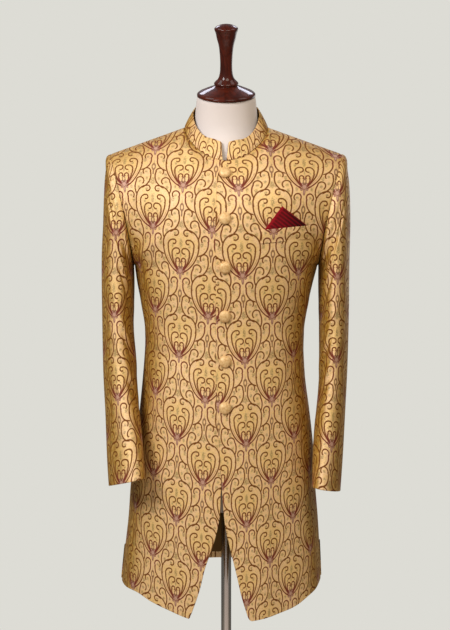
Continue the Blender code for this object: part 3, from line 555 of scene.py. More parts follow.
def set_painted_shade(made, values):
    """Writes the attribute of painted shade that the cloths read at a piece's first points; it is 0 at the others."""
    layer = made.data.attributes.get("turned") or made.data.attributes.new("turned", 'FLOAT', 'POINT')
    layer.data.foreach_set("value", np.pad(values, (0, len(made.data.vertices) - len(values))))


def painted_side_shade(normals):
    """0 where cloth faces front or back, 1 where it faces the side: the share of painted shade, a deeper, darker gold
    where the cloth turns to the side.
    """
    return fade(1 - np.abs(normals[..., 1]), 0.08, 0.50).ravel()


def closed_loft(name, rings, ends, materials):
    """A closed body through rings of points from bottom to top, with a point that closes each end."""
    rows, around = rings.shape[:2]
    ring = np.arange(around)
    after = np.roll(ring, -1)
    last = (rows - 1) * around
    foot = np.stack([after, ring, np.full(around, rows * around)], 1)
    head = np.stack([last + ring, last + after, np.full(around, rows * around + 1)], 1)
    faces = grid_quads(rows, around, around).tolist() + foot.tolist() + head.tolist()
    return new_piece(name, np.concatenate([rings.reshape(-1, 3), ends]), faces, materials)


def tilt(angle):
    """A turn about X, for points written as rows."""
    return np.array([[1, 0, 0], [0, cos(angle), sin(angle)], [0, -sin(angle), cos(angle)]])


def lathe(name, profile, steps, materials, place=(0, 0, 0), axes=np.eye(3)):
    """A closed turned body: radius and height along a smooth profile, spun round its axis and placed on axes."""
    radius, height = np.asarray(profile, float).T[..., None]
    turn = 2 * pi * np.arange(steps) / steps
    rings = xyz(radius * np.cos(turn), radius * np.sin(turn), height)[1:-1]
    ends = xyz(0.0, 0.0, height[[0, -1], 0])
    return closed_loft(name, rings @ axes + place, ends @ axes + place, materials)


def soften(profile, steps):
    """The profile with each span cut in steps along a curve through its points."""
    profile = np.asarray(profile, float)
    length = np.append(0.0, np.cumsum(np.linalg.norm(np.diff(profile, axis=0), axis=1)))
    at = np.interp(np.arange((len(profile) - 1) * steps + 1) / steps, np.arange(len(profile)), length)
    curve = np.clip(through(at, length, profile), profile.min(0), profile.max(0))
    curve[[0, -1], 0] = 0.0
    return curve


def climbing(normals):
    """Direction up the cloth along its steepest line."""
    return unit(np.array([0.0, 0.0, 1.0]) - normals * normals[..., 2:])


def panel_grain(normals, face, level):
    """Grain of a body panel: it climbs straight up, and above the armpit it comes to keep to one x."""
    keeping = unit(np.cross(normals, np.array([1.0, 0.0, 0.0])) * -face)
    return unit(mix(climbing(normals), keeping, fade(level, 1.0, 1.2)[..., None]))


def lay_out(points, normals, grain, start, reference_row):
    """u and v of each point in metres along the cloth.

    Steps across the grain are summed along rows from the first column, and steps up the grain along columns
    from a row of known height.
    """
    across = unit(np.cross(grain, normals))
    du = (np.diff(points, axis=1) * 0.5 * (across[:, 1:] + across[:, :-1])).sum(-1)
    u = start[:, None] + np.pad(np.cumsum(du, 1), ((0, 0), (1, 0)))
    dv = (np.diff(points, axis=0) * 0.5 * (grain[1:] + grain[:-1])).sum(-1)
    v = np.pad(np.cumsum(dv, 0), ((1, 0), (0, 0)))
    v = v - v[reference_row] + points[reference_row, :, 2]
    return np.stack([u, v], -1)


def in_repeat(uv, piece):
    """Where u and v fall in the pattern's repeat: the piece's shares of 1, u, h, u h and h h, summed."""
    u, h = uv[..., 0], uv[..., 1] - LIE_HEIGHT
    return np.stack([np.ones_like(u), u, h, u * h, h * h], -1) @ np.array(PATTERN_LIE[piece]).T


# ---------------------------------------------------------------- drape
def crease(points, start, end, width, depth):
    """A soft line: depth times a bell curve of the front view's distance to the segment, less near its ends."""
    start, end = np.array(start), np.array(end)
    along = end - start
    seen = points[..., [0, 2]]
    share = np.clip(((seen - start) @ along) / (along @ along), 0, 1)
    distance = np.linalg.norm(seen - start - share[..., None] * along, axis=-1)
    return depth * np.exp(-(distance / width) ** 2) * np.sin(pi * (0.12 + 0.76 * share)) ** 0.7


def hollow_at_seam(distance, depth=0.0009, reach=0.0035):
    """How far cloth dips beside a seam."""
    return depth * np.exp(-(distance / reach) ** 2)


# Start x, z, end x, z, width, depth: hollows are negative
FRONT_CREASES = {
    -1: [((-0.174, 1.245), (-0.160, 1.150), 0.010, -0.0050), ((-0.170, 1.222), (-0.110, 1.262), 0.010, 0.0030),
         ((-0.173, 1.245), (-0.128, 1.292), 0.009, -0.0022), ((-0.166, 1.190), (-0.100, 1.212), 0.011, -0.0018),
         ((-0.150, 1.075), (-0.060, 1.052), 0.012, 0.0012), ((-0.148, 1.045), (-0.070, 1.028), 0.010, -0.0012),
         ((-0.178, 1.262), (-0.160, 1.330), 0.009, 0.0020)],
    1: [((0.174, 1.245), (0.162, 1.150), 0.010, -0.0040), ((0.170, 1.222), (0.112, 1.256), 0.010, 0.0030),
        ((0.174, 1.248), (0.134, 1.300), 0.009, -0.0024), ((0.165, 1.188), (0.095, 1.204), 0.011, -0.0018),
        ((0.146, 1.070), (0.060, 1.048), 0.012, 0.0012), ((0.146, 1.040), (0.075, 1.024), 0.010, -0.0012),
        ((0.180, 1.265), (0.166, 1.330), 0.009, 0.0020)],
}
BACK_CREASES = [((0.172, 1.225), (0.105, 1.262), 0.011, 0.0024), ((0.176, 1.250), (0.125, 1.310), 0.010, -0.0020),
                ((0.150, 1.075), (0.070, 1.060), 0.012, 0.0014), ((0.148, 1.045), (0.080, 1.036), 0.010, -0.0012)]


# ---------------------------------------------------------------- materials
def linear(hexed):
    """An sRGB hex colour as linear red, green, blue, 1."""
    parts = [int(hexed[k:k + 2], 16) / 255 for k in (0, 2, 4)]
    return tuple(c / 12.92 if c <= 0.04045 else ((c + 0.055) / 1.055) ** 2.4 for c in parts) + (1.0,)


MODES = {"Math": "operation", "VectorMath": "operation", "MapRange": "interpolation_type", "Mix": "data_type"}


def join(made, inputs):
    """Gives a node's sockets, by name or by place, their values or links."""
    for key, value in inputs.items():
        if isinstance(value, bpy.types.NodeSocket):
            made.id_data.links.new(value, made.inputs[key])
        elif value is not None:
            made.inputs[key].default_value = value


def add_node(tree, kind, *inputs, **settings):
    """Adds a node with its settings and links, and returns its first output.

    A kind such as Math:ADD carries its mode. Inputs go to the sockets in order, each a value, a socket to link
    or None to leave it, and a dict after them goes by name.
    """
    kind, _, mode = kind.partition(":")
    made = tree.nodes.new(kind if kind.startswith("Node") else "ShaderNode" + kind)
    if mode:
        settings[MODES[kind]] = mode
    for key, value in settings.items():
        setattr(made, key, value)
    named = inputs[-1] if inputs and isinstance(inputs[-1], dict) else {}
    places = [place for place, socket in enumerate(made.inputs) if socket.enabled]
    join(made, dict(zip(places, inputs[:-1] if named else inputs)) | named)
    return next((socket for socket in made.outputs if socket.enabled), made)


def principled(name, **inputs):
    """A material, what adds a node to it, and its shader; inputs are the shader's own sockets."""
    made = bpy.data.materials.new(name)
    made.use_nodes = True
    shader = made.node_tree.nodes["Principled BSDF"]
    join(shader, {key.replace("_", " ").title().replace("Ior", "IOR"): value for key, value in inputs.items()})
    return made, partial(add_node, made.node_tree), shader


# Half of the scroll pattern's motif, charted in millimetres from its blossom: centre x, y, radius, from, to degrees
SCROLLS = [
    (-19.2, 43.9, 53.4, -60, -3), (10.8, 47.6, 23.2, -15, 88), (10.2, 65.9, 5.2, 82, 292),   # outer leaf
    (-30.2, 43.3, 55.1, -45, -2), (14.8, 43.6, 10.2, -20, 92), (13.4, 50.0, 3.8, 85, 290),   # second leaf
    (-22.3, 29.1, 39.2, -41, -2), (8.5, 30.3, 8.6, -20, 98), (7.0, 33.9, 4.9, 90, 275),      # third leaf
    (-4.0, 13.5, 13.6, -37, 8), (5.7, 17.9, 3.8, -20, 205),                                  # fourth leaf
    (11.0, 68.0, 24.4, -27, 28), (24.7, 80.2, 7.6, 8, 222),                                  # branch
    (27.5, 15.5, 25.5, -66, 20), (44.8, 23.9, 7.2, 4, 212),                                  # side scroll
    (27.0, -27.0, 21.3, 170, 256), (11.9, -19.4, 6.7, -32, 202),                             # foot scroll
]
# Finer second lines inside the leaves, near the blossom
FINE_SCROLLS = [(-19.2, 43.9, 50.0, -58, -22), (-30.2, 43.3, 52.1, -44, -20), (-22.3, 29.1, 36.6, -40, -14)]
# Small woven shapes: centre x, y, half width, half height
BLOSSOM = [(0.0, -0.4, 4.2, 4.4), (6.3, 0.6, 2.6, 1.6), (5.2, -5.0, 2.0, 2.2), (0.0, -9.2, 1.9, 5.4),
           (3.6, 4.6, 1.8, 2.4)]
BUDS = [(0.0, 10.0, 2.6, 4.8), (0.0, -41.0, 3.0, 5.6), (0.0, -48.5, 0.3, 4.0)]
OLIVE_MARKS = [(0.0, 47.5, 2.6, 7.0), (0.0, 80.0, 3.6, 6.4), (5.4, 77.0, 2.0, 2.0), (0.0, 27.5, 1.2, 3.2),
               (9.6, 25.5, 1.6, 1.6), (16.3, 42.5, 1.8, 2.2), (11.6, 64.8, 2.2, 1.8), (25.2, 79.0, 2.6, 2.2),
               (27.4, 68.0, 2.4, 3.2), (43.6, 22.8, 2.4, 2.2), (45.4, 10.0, 2.0, 2.4), (33.6, 18.0, 2.6, 3.6),
               (14.2, -4.4, 2.0, 2.8), (12.8, -20.4, 2.2, 2.0), (17.6, -28.0, 2.6, 3.6), (28.6, -6.6, 1.8, 2.2)]


def motif_group():
    """Node group: distances in millimetres from a point of the half motif to its lines and woven shapes."""
    tree = bpy.data.node_groups.new("scroll_motif", "ShaderNodeTree")
    add = partial(add_node, tree)
    tree.interface.new_socket("Place", in_out='INPUT', socket_type='NodeSocketVector')
    for label in ("Line", "Fine", "Blossom", "Olive", "Bud", "Leaf"):
        tree.interface.new_socket(label, in_out='OUTPUT', socket_type='NodeSocketFloat')
    place = add("NodeGroupInput")
    ends = add("NodeGroupOutput")

    def nearest(shapes):
        """The least of the distances to some shapes."""
        least = None
        for one in shapes:
            least = one if least is None else add("Math:MINIMUM", least, one)
        return least

    def arc(x, y, radius, start, end):
        """The greater of | distance to the centre - radius | and how far past the arc's chord."""
        middle, half = radians(0.5 * (start + end)), radians(0.5 * (end - start))
        offset = add("VectorMath:SUBTRACT", place, (x, y, 0.0))
        ring = add("Math:ABSOLUTE", add("Math:SUBTRACT", add("VectorMath:LENGTH", offset), radius))
        past = add("Math:SUBTRACT", radius * cos(half),
                   add("VectorMath:DOT_PRODUCT", offset, (cos(middle), sin(middle), 0.0)))
        return add("Math:MAXIMUM", ring, past)

    def oval(x, y, half_width, half_height):
        """Its scaled distance less one, times its smaller half width."""
        offset = add("VectorMath:SUBTRACT", place, (x, y, 0.0))
        scaled = add("VectorMath:MULTIPLY", offset, (1 / half_width, 1 / half_height, 0.0))
        past = add("Math:SUBTRACT", add("VectorMath:LENGTH", scaled), 1.0)
        return add("Math:MULTIPLY", past, min(half_width, half_height))

    join(ends, {
        "Line": nearest(arc(*one) for one in SCROLLS),
        "Fine": nearest(arc(*one) for one in FINE_SCROLLS),
        "Blossom": nearest(oval(*one) for one in BLOSSOM),
        "Olive": nearest(oval(*one) for one in OLIVE_MARKS),
        "Bud": nearest(oval(*one) for one in BUDS),
        "Leaf": oval(0.0, 40.0, 31.0, 31.0),
    })
    return tree


MOTIF_LOW = -57.0        # millimetres: the motif reaches from here to one repeat above
WEFT_STEP, WARP_STEP = 1.1, 1.3   # millimetres; the real threads are 0.3 mm apart, too fine to show


def brocade(name):
    """Jacquard-woven silk brocade: satin ground that glows, scroll lines in brown and maroon floats.

    The repeat drops by half its height from column to column; a blossom sits at u, v 0, 0.
    """
    look = coat()
    made, add, shader = principled(name, metallic=0.12, sheen_weight=0.04, sheen_roughness=0.4,
                                   sheen_tint=linear("f6d9a8"))
    group = bpy.data.node_groups.get("scroll_motif") or motif_group()
    width, height = look.repeat_width * 1000, look.repeat_height * 1000
    moved = add("VectorMath:MULTIPLY", add("UVMap", uv_map="cloth"), (1000, 1000, 0))
    right, up, _ = add("SeparateXYZ", moved).node.outputs
    across = add("Math:PINGPONG", right, width / 2)
    found = []
    for x, y in ((across, up), (add("Math:SUBTRACT", width / 2, across), add("Math:ADD", up, height / 2))):
        y = add("Math:WRAP", y, MOTIF_LOW + height, MOTIF_LOW)
        found.append(add("Group", add("CombineXYZ", x, y), node_tree=group).node.outputs)
    near = {key: add("Math:MINIMUM", found[0][key], found[1][key])
            for key in ("Fine", "Blossom", "Olive", "Bud", "Leaf", "Line")}

    uneven = add("TexNoise", moved, 0.10, 3.0, 0.7)
    specks = add("TexNoise", moved, 0.42, 1.0)
    soft = add("TexNoise", moved, 0.30, 3.0, 0.7)
    weft = add("Math:SINE", add("Math:MULTIPLY", up, 2 * pi / WEFT_STEP))
    warp = add("Math:SINE", add("Math:MULTIPLY", right, 2 * pi / WARP_STEP))
    weave = add("Math:MULTIPLY", weft, warp)

    # Painted shade: the turned attribute mixes the ground and the leaves towards a darker, deeper gold where the
    # cloth turns to the side
    away = add("Attribute", attribute_name="turned").node.outputs["Fac"]
    ground = add("Mix:RGBA", away, look_colour("ground"), look_colour("ground_side"))
    leaf = add("Mix:RGBA", away, look_colour("leaf"), look_colour("leaf_side"))
    stroke = add("Mix:RGBA", add("MapRange:SMOOTHSTEP", near["Blossom"], 3.5, 15.0),
                 look_colour("maroon"), look_colour("line"))
    line = look.line_width * 1000
    drawn = add("MapRange:SMOOTHSTEP", near["Line"], line * 0.62, line * 0.28)
    mark = add("Math:MULTIPLY", add("MapRange:SMOOTHSTEP", near["Olive"], 1.6, -1.0),
               add("MapRange:SMOOTHSTEP", specks, 0.30, 0.52))
    base = ground
    # Each layer: what shows it, where it starts and is whole, its share, its colour
    for value, start, whole, share, colour in (
            (near["Leaf"], 2.0, -12.0, 0.42, leaf),
            (uneven, 0.40, 0.62, 0.45, look_colour("leaf")),
            (mark, None, None, 0.65, look_colour("olive")),
            (specks, 0.56, 0.70, 0.35, look_colour("rose")),
            (near["Blossom"], 0.6, -0.6, 1.0, look_colour("petal")),
            (add("Math:ABSOLUTE", near["Blossom"]), 1.0, 0.2, 0.80, look_colour("maroon")),
            (add("Math:ABSOLUTE", near["Bud"]), 1.6, 0.5, 0.85, look_colour("line")),
            (near["Fine"], 1.1, 0.1, 0.70, look_colour("rose")),
            (drawn, None, None, 1.0, stroke)):
        shown = value if start is None else add("MapRange:SMOOTHSTEP", value, start, whole)
        base = add("Mix:RGBA", add("Math:MULTIPLY", shown, share), base, colour)
    tone = add("Math:MULTIPLY_ADD", weave, 0.05, add("Math:MULTIPLY_ADD", soft, 0.44, 0.78))
    relief = add("Math:MULTIPLY_ADD", drawn, 0.5, add("Math:MULTIPLY", weave, 0.22))
    # The floats of the lines are matt, the satin between them is not
    join(shader, {
        "Base Color": add("VectorMath:MULTIPLY", base, add("CombineXYZ", tone, tone, tone)),
        "Specular IOR Level": add("Math:MULTIPLY_ADD", drawn, -0.5, 0.60),
        "Roughness": add("Math:MULTIPLY_ADD", drawn, 0.20, 0.54),
        "Normal": add("Bump", {"Strength": 0.35, "Distance": 0.0004, "Height": relief}),
    })
    return made


LINING_THREAD = 0.0012   # metres; drawn four times as coarse as it is, so that it shows


def lining():
    """Satin-woven viscose lining: smooth, with a faint upright thread that gives it a dull gloss."""
    made, add, shader = principled("satin_lining", roughness=0.5, specular_ior_level=0.2)
    cloth = add("UVMap", uv_map="cloth")
    thread = add("Math:SINE", add("Math:MULTIPLY", add("SeparateXYZ", cloth), 2 * pi / LINING_THREAD))
    clouds = add("TexNoise", cloth, 18.0, 3.0)
    join(shader, {
        "Base Color": add("Mix:RGBA", clouds, look_colour("lining"), look_colour("lining_shade")),
        "Normal": add("Bump", {"Strength": 0.2, "Distance": 0.0002, "Height": thread}),
    })
    return made


CORD_STEP = 0.0009       # metres; the real cords are 0.5 mm apart, too fine to show


def red_rib():
    """Ribbed silk-and-cotton cloth, dyed deep red: matt, with soft diagonal cords."""
    made, add, shader = principled("red_ribbed_cloth", roughness=0.6, specular_ior_level=0.15)
    cloth = add("UVMap", uv_map="cloth")
    down = add("SeparateXYZ", cloth).node.outputs[1]
    # The turned attribute carries painted shade: stripes between the pleats and a darker side away from the plain
    # band, in red_shade
    pleat = add("Attribute", attribute_name="turned").node.outputs["Fac"]
    clouds = add("TexNoise", cloth, 90.0, 3.0)
    base = add("Mix:RGBA", pleat, look_colour("red"), look_colour("red_shade"))
    cord = add("Math:SINE", add("Math:MULTIPLY", down, 2 * pi / CORD_STEP))
    join(shader, {
        "Base Color": add("Mix:RGBA", add("Math:MULTIPLY", clouds, 0.35), base, look_colour("red_shade")),
        "Normal": add("Bump", {"Strength": 0.3, "Distance": 0.0003, "Height": cord}),
    })
    return made


def satin_brass():
    """Pressed brass, champagne plated and satin brushed: broad soft highlights with a few darker patches in random
    clouds.
    """
    made, add, shader = principled("satin_brass", metallic=0.12)
    clouds = add("TexNoise", add("TexCoord").node.outputs["Object"], 260.0, 4.0)
    darker_patches = add("MapRange:SMOOTHSTEP", clouds, 0.35, 0.75)
    join(shader, {
        "Base Color": add("Mix:RGBA", darker_patches, look_colour("button"), look_colour("button_shade")),
        "Roughness": add("Math:MULTIPLY_ADD", clouds, 0.16, 0.38),
    })
    return made


def jersey():
    """Knitted cotton jersey over padding: matt off-white with a fine stitch and slight handling marks."""
    made, add, shader = principled("cotton_jersey", roughness=0.85, sheen_weight=0.3, sheen_roughness=0.6)
    spot = add("TexCoord").node.outputs["Object"]
    clouds = add("TexNoise", spot, 9.0, 4.0)
    stitch = add("TexNoise", spot, 700.0, 2.0)
    join(shader, {
        "Base Color": add("Mix:RGBA", clouds, look_colour("form"), look_colour("form_shade")),
        "Normal": add("Bump", {"Strength": 0.25, "Distance": 0.0004, "Height": stitch}),
    })
    return made


def lacquered_wood():
    """Turned hardwood, stained dark and lacquered: grain streaks under a hard clear gloss."""
    made, add, shader = principled("lacquered_hardwood", roughness=0.5, specular_ior_level=0.1,
                                   coat_weight=0.50, coat_roughness=0.03)
    along = {"Vector": add("TexCoord").node.outputs["Object"], "Scale": (60.0, 60.0, 7.0),
             "Rotation": (-NECK_TILT, 0, 0)}
    grain = add("TexNoise", add("Mapping", along), 1.6, 5.0, {"Distortion": 0.6})
    share = add("MapRange:SMOOTHSTEP", grain, 0.35, 0.68)
    join(shader, {"Base Color": add("Mix:RGBA", share, look_colour("wood"), look_colour("wood_dark"))})
    return made


def polished_chrome():
    """Chromium-plated steel tube, polished: a mirror with the faintest drawn lines and wipe marks."""
    made, add, shader = principled("polished_chrome", metallic=1.0, base_color=look_colour("chrome"))
    along = {"Vector": add("TexCoord").node.outputs["Object"], "Scale": (220.0, 220.0, 6.0)}
    marks = add("TexNoise", add("Mapping", along), 1.0, 3.0)
    join(shader, {"Roughness": add("Math:MULTIPLY_ADD", marks, 0.08, 0.12)})
    return made


# ---------------------------------------------------------------- sizes and colours a user would change
COLOURS = {
    "ground": ("Satin ground", "ebc391"),
    # The two colours where the cloth turns away are painted shade: a darker, deeper gold for the cloth's sides
    "ground_side": ("Satin ground where it turns away", "a8791f"),
    "leaf": ("Gold inside the leaves", "e6be6c"),
    "leaf_side": ("Gold inside the leaves where it turns away", "9a7016"),
    "line": ("Scroll lines", "74431b"),
    "maroon": ("Scroll lines near the blossom", "77362a"),
    "rose": ("Fine second lines", "9c5a42"),
    "petal": ("Blossom", "bd917c"),
    "olive": ("Small woven marks", "7f6a34"),
    "lining": ("Lining", "6e4e16"),
    "lining_shade": ("Lining in shade", "50380e"),
    "red": ("Pocket square", "a41422"),
    # Painted shade of the pocket square between its pleats and away from its plain band; also the colour of its
    # random darker clouds
    "red_shade": ("Pocket square in the pleats", "2e0003"),
    "button": ("Buttons", "e6c089"),
    # A darker colour laid over the buttons in random clouds
    "button_shade": ("Buttons, worn", "cc9b5e"),
    "form": ("Form cover", "ded4d2"),
    "form_shade": ("Form cover, handled", "d3c8c5"),
    "wood": ("Neck cap", "4c180a"),
    "wood_dark": ("Neck cap, grain", "340c03"),
    "chrome": ("Pole and base", "bdb6b1"),
    "floor": ("Floor", "dddcd6"),
}
SIZES = {
    "wall": ("Cloth", "Thickness of the cloth with its lining", 0.0020),
    "sleeve_wall": ("Sleeve cloth", "Thickness of the sleeves", 0.0018),
    "collar_wall": ("Collar cloth", "Thickness of the stand collar", 0.0016),
    "lap_ease": ("Lap ease", "Room between the two fronts", 0.0005),
    "facing": ("Facing", "Width of brocade turned in at the hem", 0.026),
    "repeat_width": ("Repeat across", "Width of the pattern's repeat", 0.1140),
    "repeat_height": ("Repeat up", "Height of the pattern's repeat", 0.1508),
    "line_width": ("Line", "Width of the scroll lines", 0.0028),
    "button_radius": ("Button radius", "Half the width of a button", 0.0113),
    "button_height": ("Button height", "From its back to the top of its dome", 0.0075),
    "rib": ("Pleat", "Distance between the pocket square's pleats", 0.0062),
}


def coat():
    """The sizes."""
    return bpy.context.scene.sherwani_sizes


def look_colour(key):
    """One of the colours, as linear red, green, blue, 1."""
    return tuple(getattr(bpy.context.scene.sherwani_colours, key)) + (1.0,)


class SherwaniSizes(bpy.types.PropertyGroup):
    """Sizes of the cloth, its pattern and the buttons."""
    __annotations__ = {
        key: FloatProperty(name=label, description=meaning, default=size, unit='LENGTH')
        for key, (label, meaning, size) in SIZES.items()
    }


class SherwaniColours(bpy.types.PropertyGroup):
    """Colours of the cloth, the buttons, the form and the stand."""
    __annotations__ = {
        key: FloatVectorProperty(name=label, description=label, subtype='COLOR', size=3, min=0, max=1,
                                 default=linear(hexed)[:3])
        for key, (label, hexed) in COLOURS.items()
    }


# ---------------------------------------------------------------- pieces
def seam_shift(level, face):
    """Keeps a panel half a gap from its side seam, a little more at the armpit and in the slit."""
    slit = SLIT_OPEN * (1 - fade(level, 0.0, SLIT_TOP_LEVEL))
    armpit = ARMPIT_EASE * fade(level, 0.93, 1.0)
    return face * (0.5 * GAP + slit + armpit) * (level <= 1.001)


def body_levels():
    """Levels of a panel's rows, closer together at the hem, the armpit and the top."""
    lower = spaced(0.0, 1.0, 150, (0.0015, 0.0035), (0.002,))
    upper = spaced(1.0, TOP_LEVEL, 76, (0.002,), (0.0015, 0.004))
    return np.concatenate([lower, upper[1:]])


def finish_panel(points, level, column, face, creases):
    """Adds its creases and the dip beside each seam to a panel, and keeps it half a gap from its seams.

    It also returns the normals that the panel had before.
    """
    normals = face_out(grid_normals(points, False), points)
    quiet = fade(1 - column, 0.0, 0.06) * fade(TOP_LEVEL - level, 0.0, 0.03)
    move = quiet * sum(crease(points, *one) for one in creases)
    move = move - hollow_at_seam(np.abs(1 - column) * COLUMN_WIDTH) * (level > SLIT_TOP_LEVEL)
    move = move - hollow_at_seam((TOP_LEVEL - level) * SHOULDER_LEVEL_HEIGHT, 0.0004)
    points = points + normals * move[..., None]
    at_shoulder = fade(np.abs(points[..., 0]), 0.060, 0.075) * (level > TOP_LEVEL - 0.0022)
    points[..., 1] += seam_shift(level, face) * fade(1 - column, 0.008, 0.003) + face * 0.5 * GAP * at_shoulder
    return points, normals


def inside_facings(level, height, facing):
    """Where an inner quad is above the turned-in hem and below the neck's facing."""
    return (height * level[:-1, :-1] > facing) & (level[1:, 1:] < TOP_LEVEL - NECK_FACING)


def front_shape(side):
    """One front: points, UVs and where the inside is lined.

    The share across runs from the front edge, found at each level, to the side seam and the armhole.
    """
    rows = body_levels()
    start = edge_column(rows, side)
    share = spaced(0.0, 1.0, 84, (0.0025, 0.006), (0.002, 0.005, 0.009))
    share = np.unique(np.append(share, (NECK_COLUMN - start[-1]) / (1 - start[-1])))
    column = start[:, None] + (1 - start[:, None]) * share
    level = np.broadcast_to(rows[:, None], column.shape)
    points, normals = finish_panel(front_point(column, level, side), level, column, -1, FRONT_CREASES[side])
    grain = panel_grain(normals, -1, level)
    uv = lay_out(points, normals, grain, points[:, 0, 0], int(np.searchsorted(rows, 1.0)))
    from_edge = np.abs(uv[:-1, :-1, 0] - uv[:-1, :1, 0])
    inside = inside_facings(level, FRONT_HEIGHT, coat().facing) & (from_edge > FRONT_FACING)
    return points, in_repeat(uv, f"front_{SIDES[side]}"), inside


def back_shape():
    """The back: points, UVs and where the inside is lined; its two halves mirror each other across the centre."""
    rows = body_levels()
    share = np.unique(np.append(spaced(0.0, 1.0, 64, (), (0.002, 0.005, 0.009)), NECK_COLUMN))
    column, level = np.broadcast_arrays(share, rows[:, None])
    halves = []
    for side in SIDES:
        creases = [((side * a[0], a[1]), (side * b[0], b[1]), *size) for a, b, *size in BACK_CREASES]
        halves.append(finish_panel(body_point(column, level, side, 1), level, column, 1, creases)[0])
    points = np.concatenate([halves[0][:, :0:-1], halves[1]], 1)
    normals = face_out(grid_normals(points, False), points)
    level = np.broadcast_to(rows[:, None], points.shape[:2])
    grain = panel_grain(normals, 1, level)
    uv = lay_out(points, normals, grain, np.zeros(len(rows)), int(np.searchsorted(rows, 1.0)))
    middle = len(share) - 1
    uv[..., 0] -= uv[:, middle:middle + 1, 0]
    return points, in_repeat(uv, "back"), inside_facings(level, BACK_HEIGHT, 0.45 * coat().facing)


def sleeve_head(turn, side):
    """The sleeve's first two points at each turn: beside the armhole seam, then a little way on."""
    half_turn = np.where(turn <= pi, turn, 2 * pi - turn)
    near = np.clip(half_turn, 0.03, pi - 0.03)
    level = armhole_level(near)
    column = np.full(turn.shape, 0.975)

    def in_turn(found):
        """What a function of the face gives, for the front's half and for the back's."""
        return np.where((np.sin(turn) >= 0)[:, None], found(-1), found(1))

    seam = in_turn(lambda face: armhole(half_turn, side, face))
    normal = in_turn(lambda face: outward(column, level, side, face))
    along = in_turn(lambda face: unit(armhole(near + 0.02, side, face) - armhole(near - 0.02, side, face)))
    top = (half_turn < 0.06)[:, None]
    foot = (half_turn > pi - 0.06)[:, None]
    along = np.where(top | foot, np.array([0.0, 1.0, 0.0]), along)
    normal = np.where(top, np.array([CROWN_NORMAL[0] * side, 0.0, CROWN_NORMAL[1]]), normal)
    normal = np.where(foot, np.array([side, 0.0, 0.0]), normal)
    onward = unit(np.cross(along, normal))
    onward = onward * np.where(side * onward[:, :1] + 0.5 * onward[:, 2:] < 0, -1, 1)
    normal = unit(normal - along * (normal * along).sum(-1, keepdims=True))
    fold = (SLEEVE_FOLD * fade(half_turn, radians(30), pi))[:, None]
    leave = onward * np.cos(fold) + normal * np.sin(fold)
    beside = onward * np.cos(fold / 2) + normal * np.sin(fold / 2)
    first = seam + beside * (GAP + SLEEVE_EASE * fade(half_turn, radians(90), pi))[:, None]
    return first, first + leave * SLEEVE_HEAD_STRIP


def ring_point(turn, side, ring):
    """Sleeve ring: an ellipse turned about the vertical and slanted from its outer to its inner height."""
    high, outer, low, inner, middle_y, half_depth, twist_degrees, front_lift = ring
    twist = radians(twist_degrees)
    half_x = 0.5 * (outer - inner)
    half_width = max(half_x ** 2 - (half_depth * sin(twist)) ** 2, (0.6 * half_x) ** 2) ** 0.5 / cos(twist)
    across = half_width * np.cos(turn)
    forward = half_depth * np.sin(turn)
    x = 0.5 * (outer + inner) + across * cos(twist) - forward * sin(twist)
    y = middle_y - forward * cos(twist) - across * sin(twist)
    z = 0.5 * (high + low) + 0.5 * (high - low) * np.cos(turn) + front_lift * np.sin(turn)
    return xyz(side * x, y, z)


# Sleeve creases: turn in degrees, distance down in rings, the spread of each, depth
SLEEVE_CREASES = {
    1: [(95, 1.9, 42, 0.22, -0.0030), (120, 2.5, 38, 0.22, 0.0024), (130, 3.2, 34, 0.20, -0.0026),
        (115, 4.7, 40, 0.22, 0.0022), (125, 5.1, 36, 0.18, -0.0026), (100, 5.6, 44, 0.20, 0.0020),
        (120, 6.1, 36, 0.20, -0.0018), (262, 4.6, 34, 0.25, -0.0022), (256, 5.3, 34, 0.25, 0.0020)],
    -1: [(90, 1.8, 42, 0.22, -0.0028), (118, 2.4, 38, 0.22, 0.0024), (128, 3.1, 34, 0.20, -0.0026),
         (110, 4.6, 40, 0.22, 0.0022), (122, 5.0, 36, 0.18, -0.0026), (100, 5.5, 44, 0.20, 0.0022),
         (116, 6.0, 36, 0.20, -0.0020), (262, 4.5, 34, 0.25, -0.0022), (256, 5.2, 34, 0.25, 0.0020)],
}
CREASE_SLANT = 0.010     # rings a crease drops for each degree round the arm
SLEEVE_AROUND = 112      # points round a sleeve
SLEEVE_BAND = 0.32       # brocade turned in at the cuff, in rings
SEAM_DIP, SEAM_REACH = 0.0008, 0.05   # the sleeve's dip beside the armhole seam, and its reach in rings


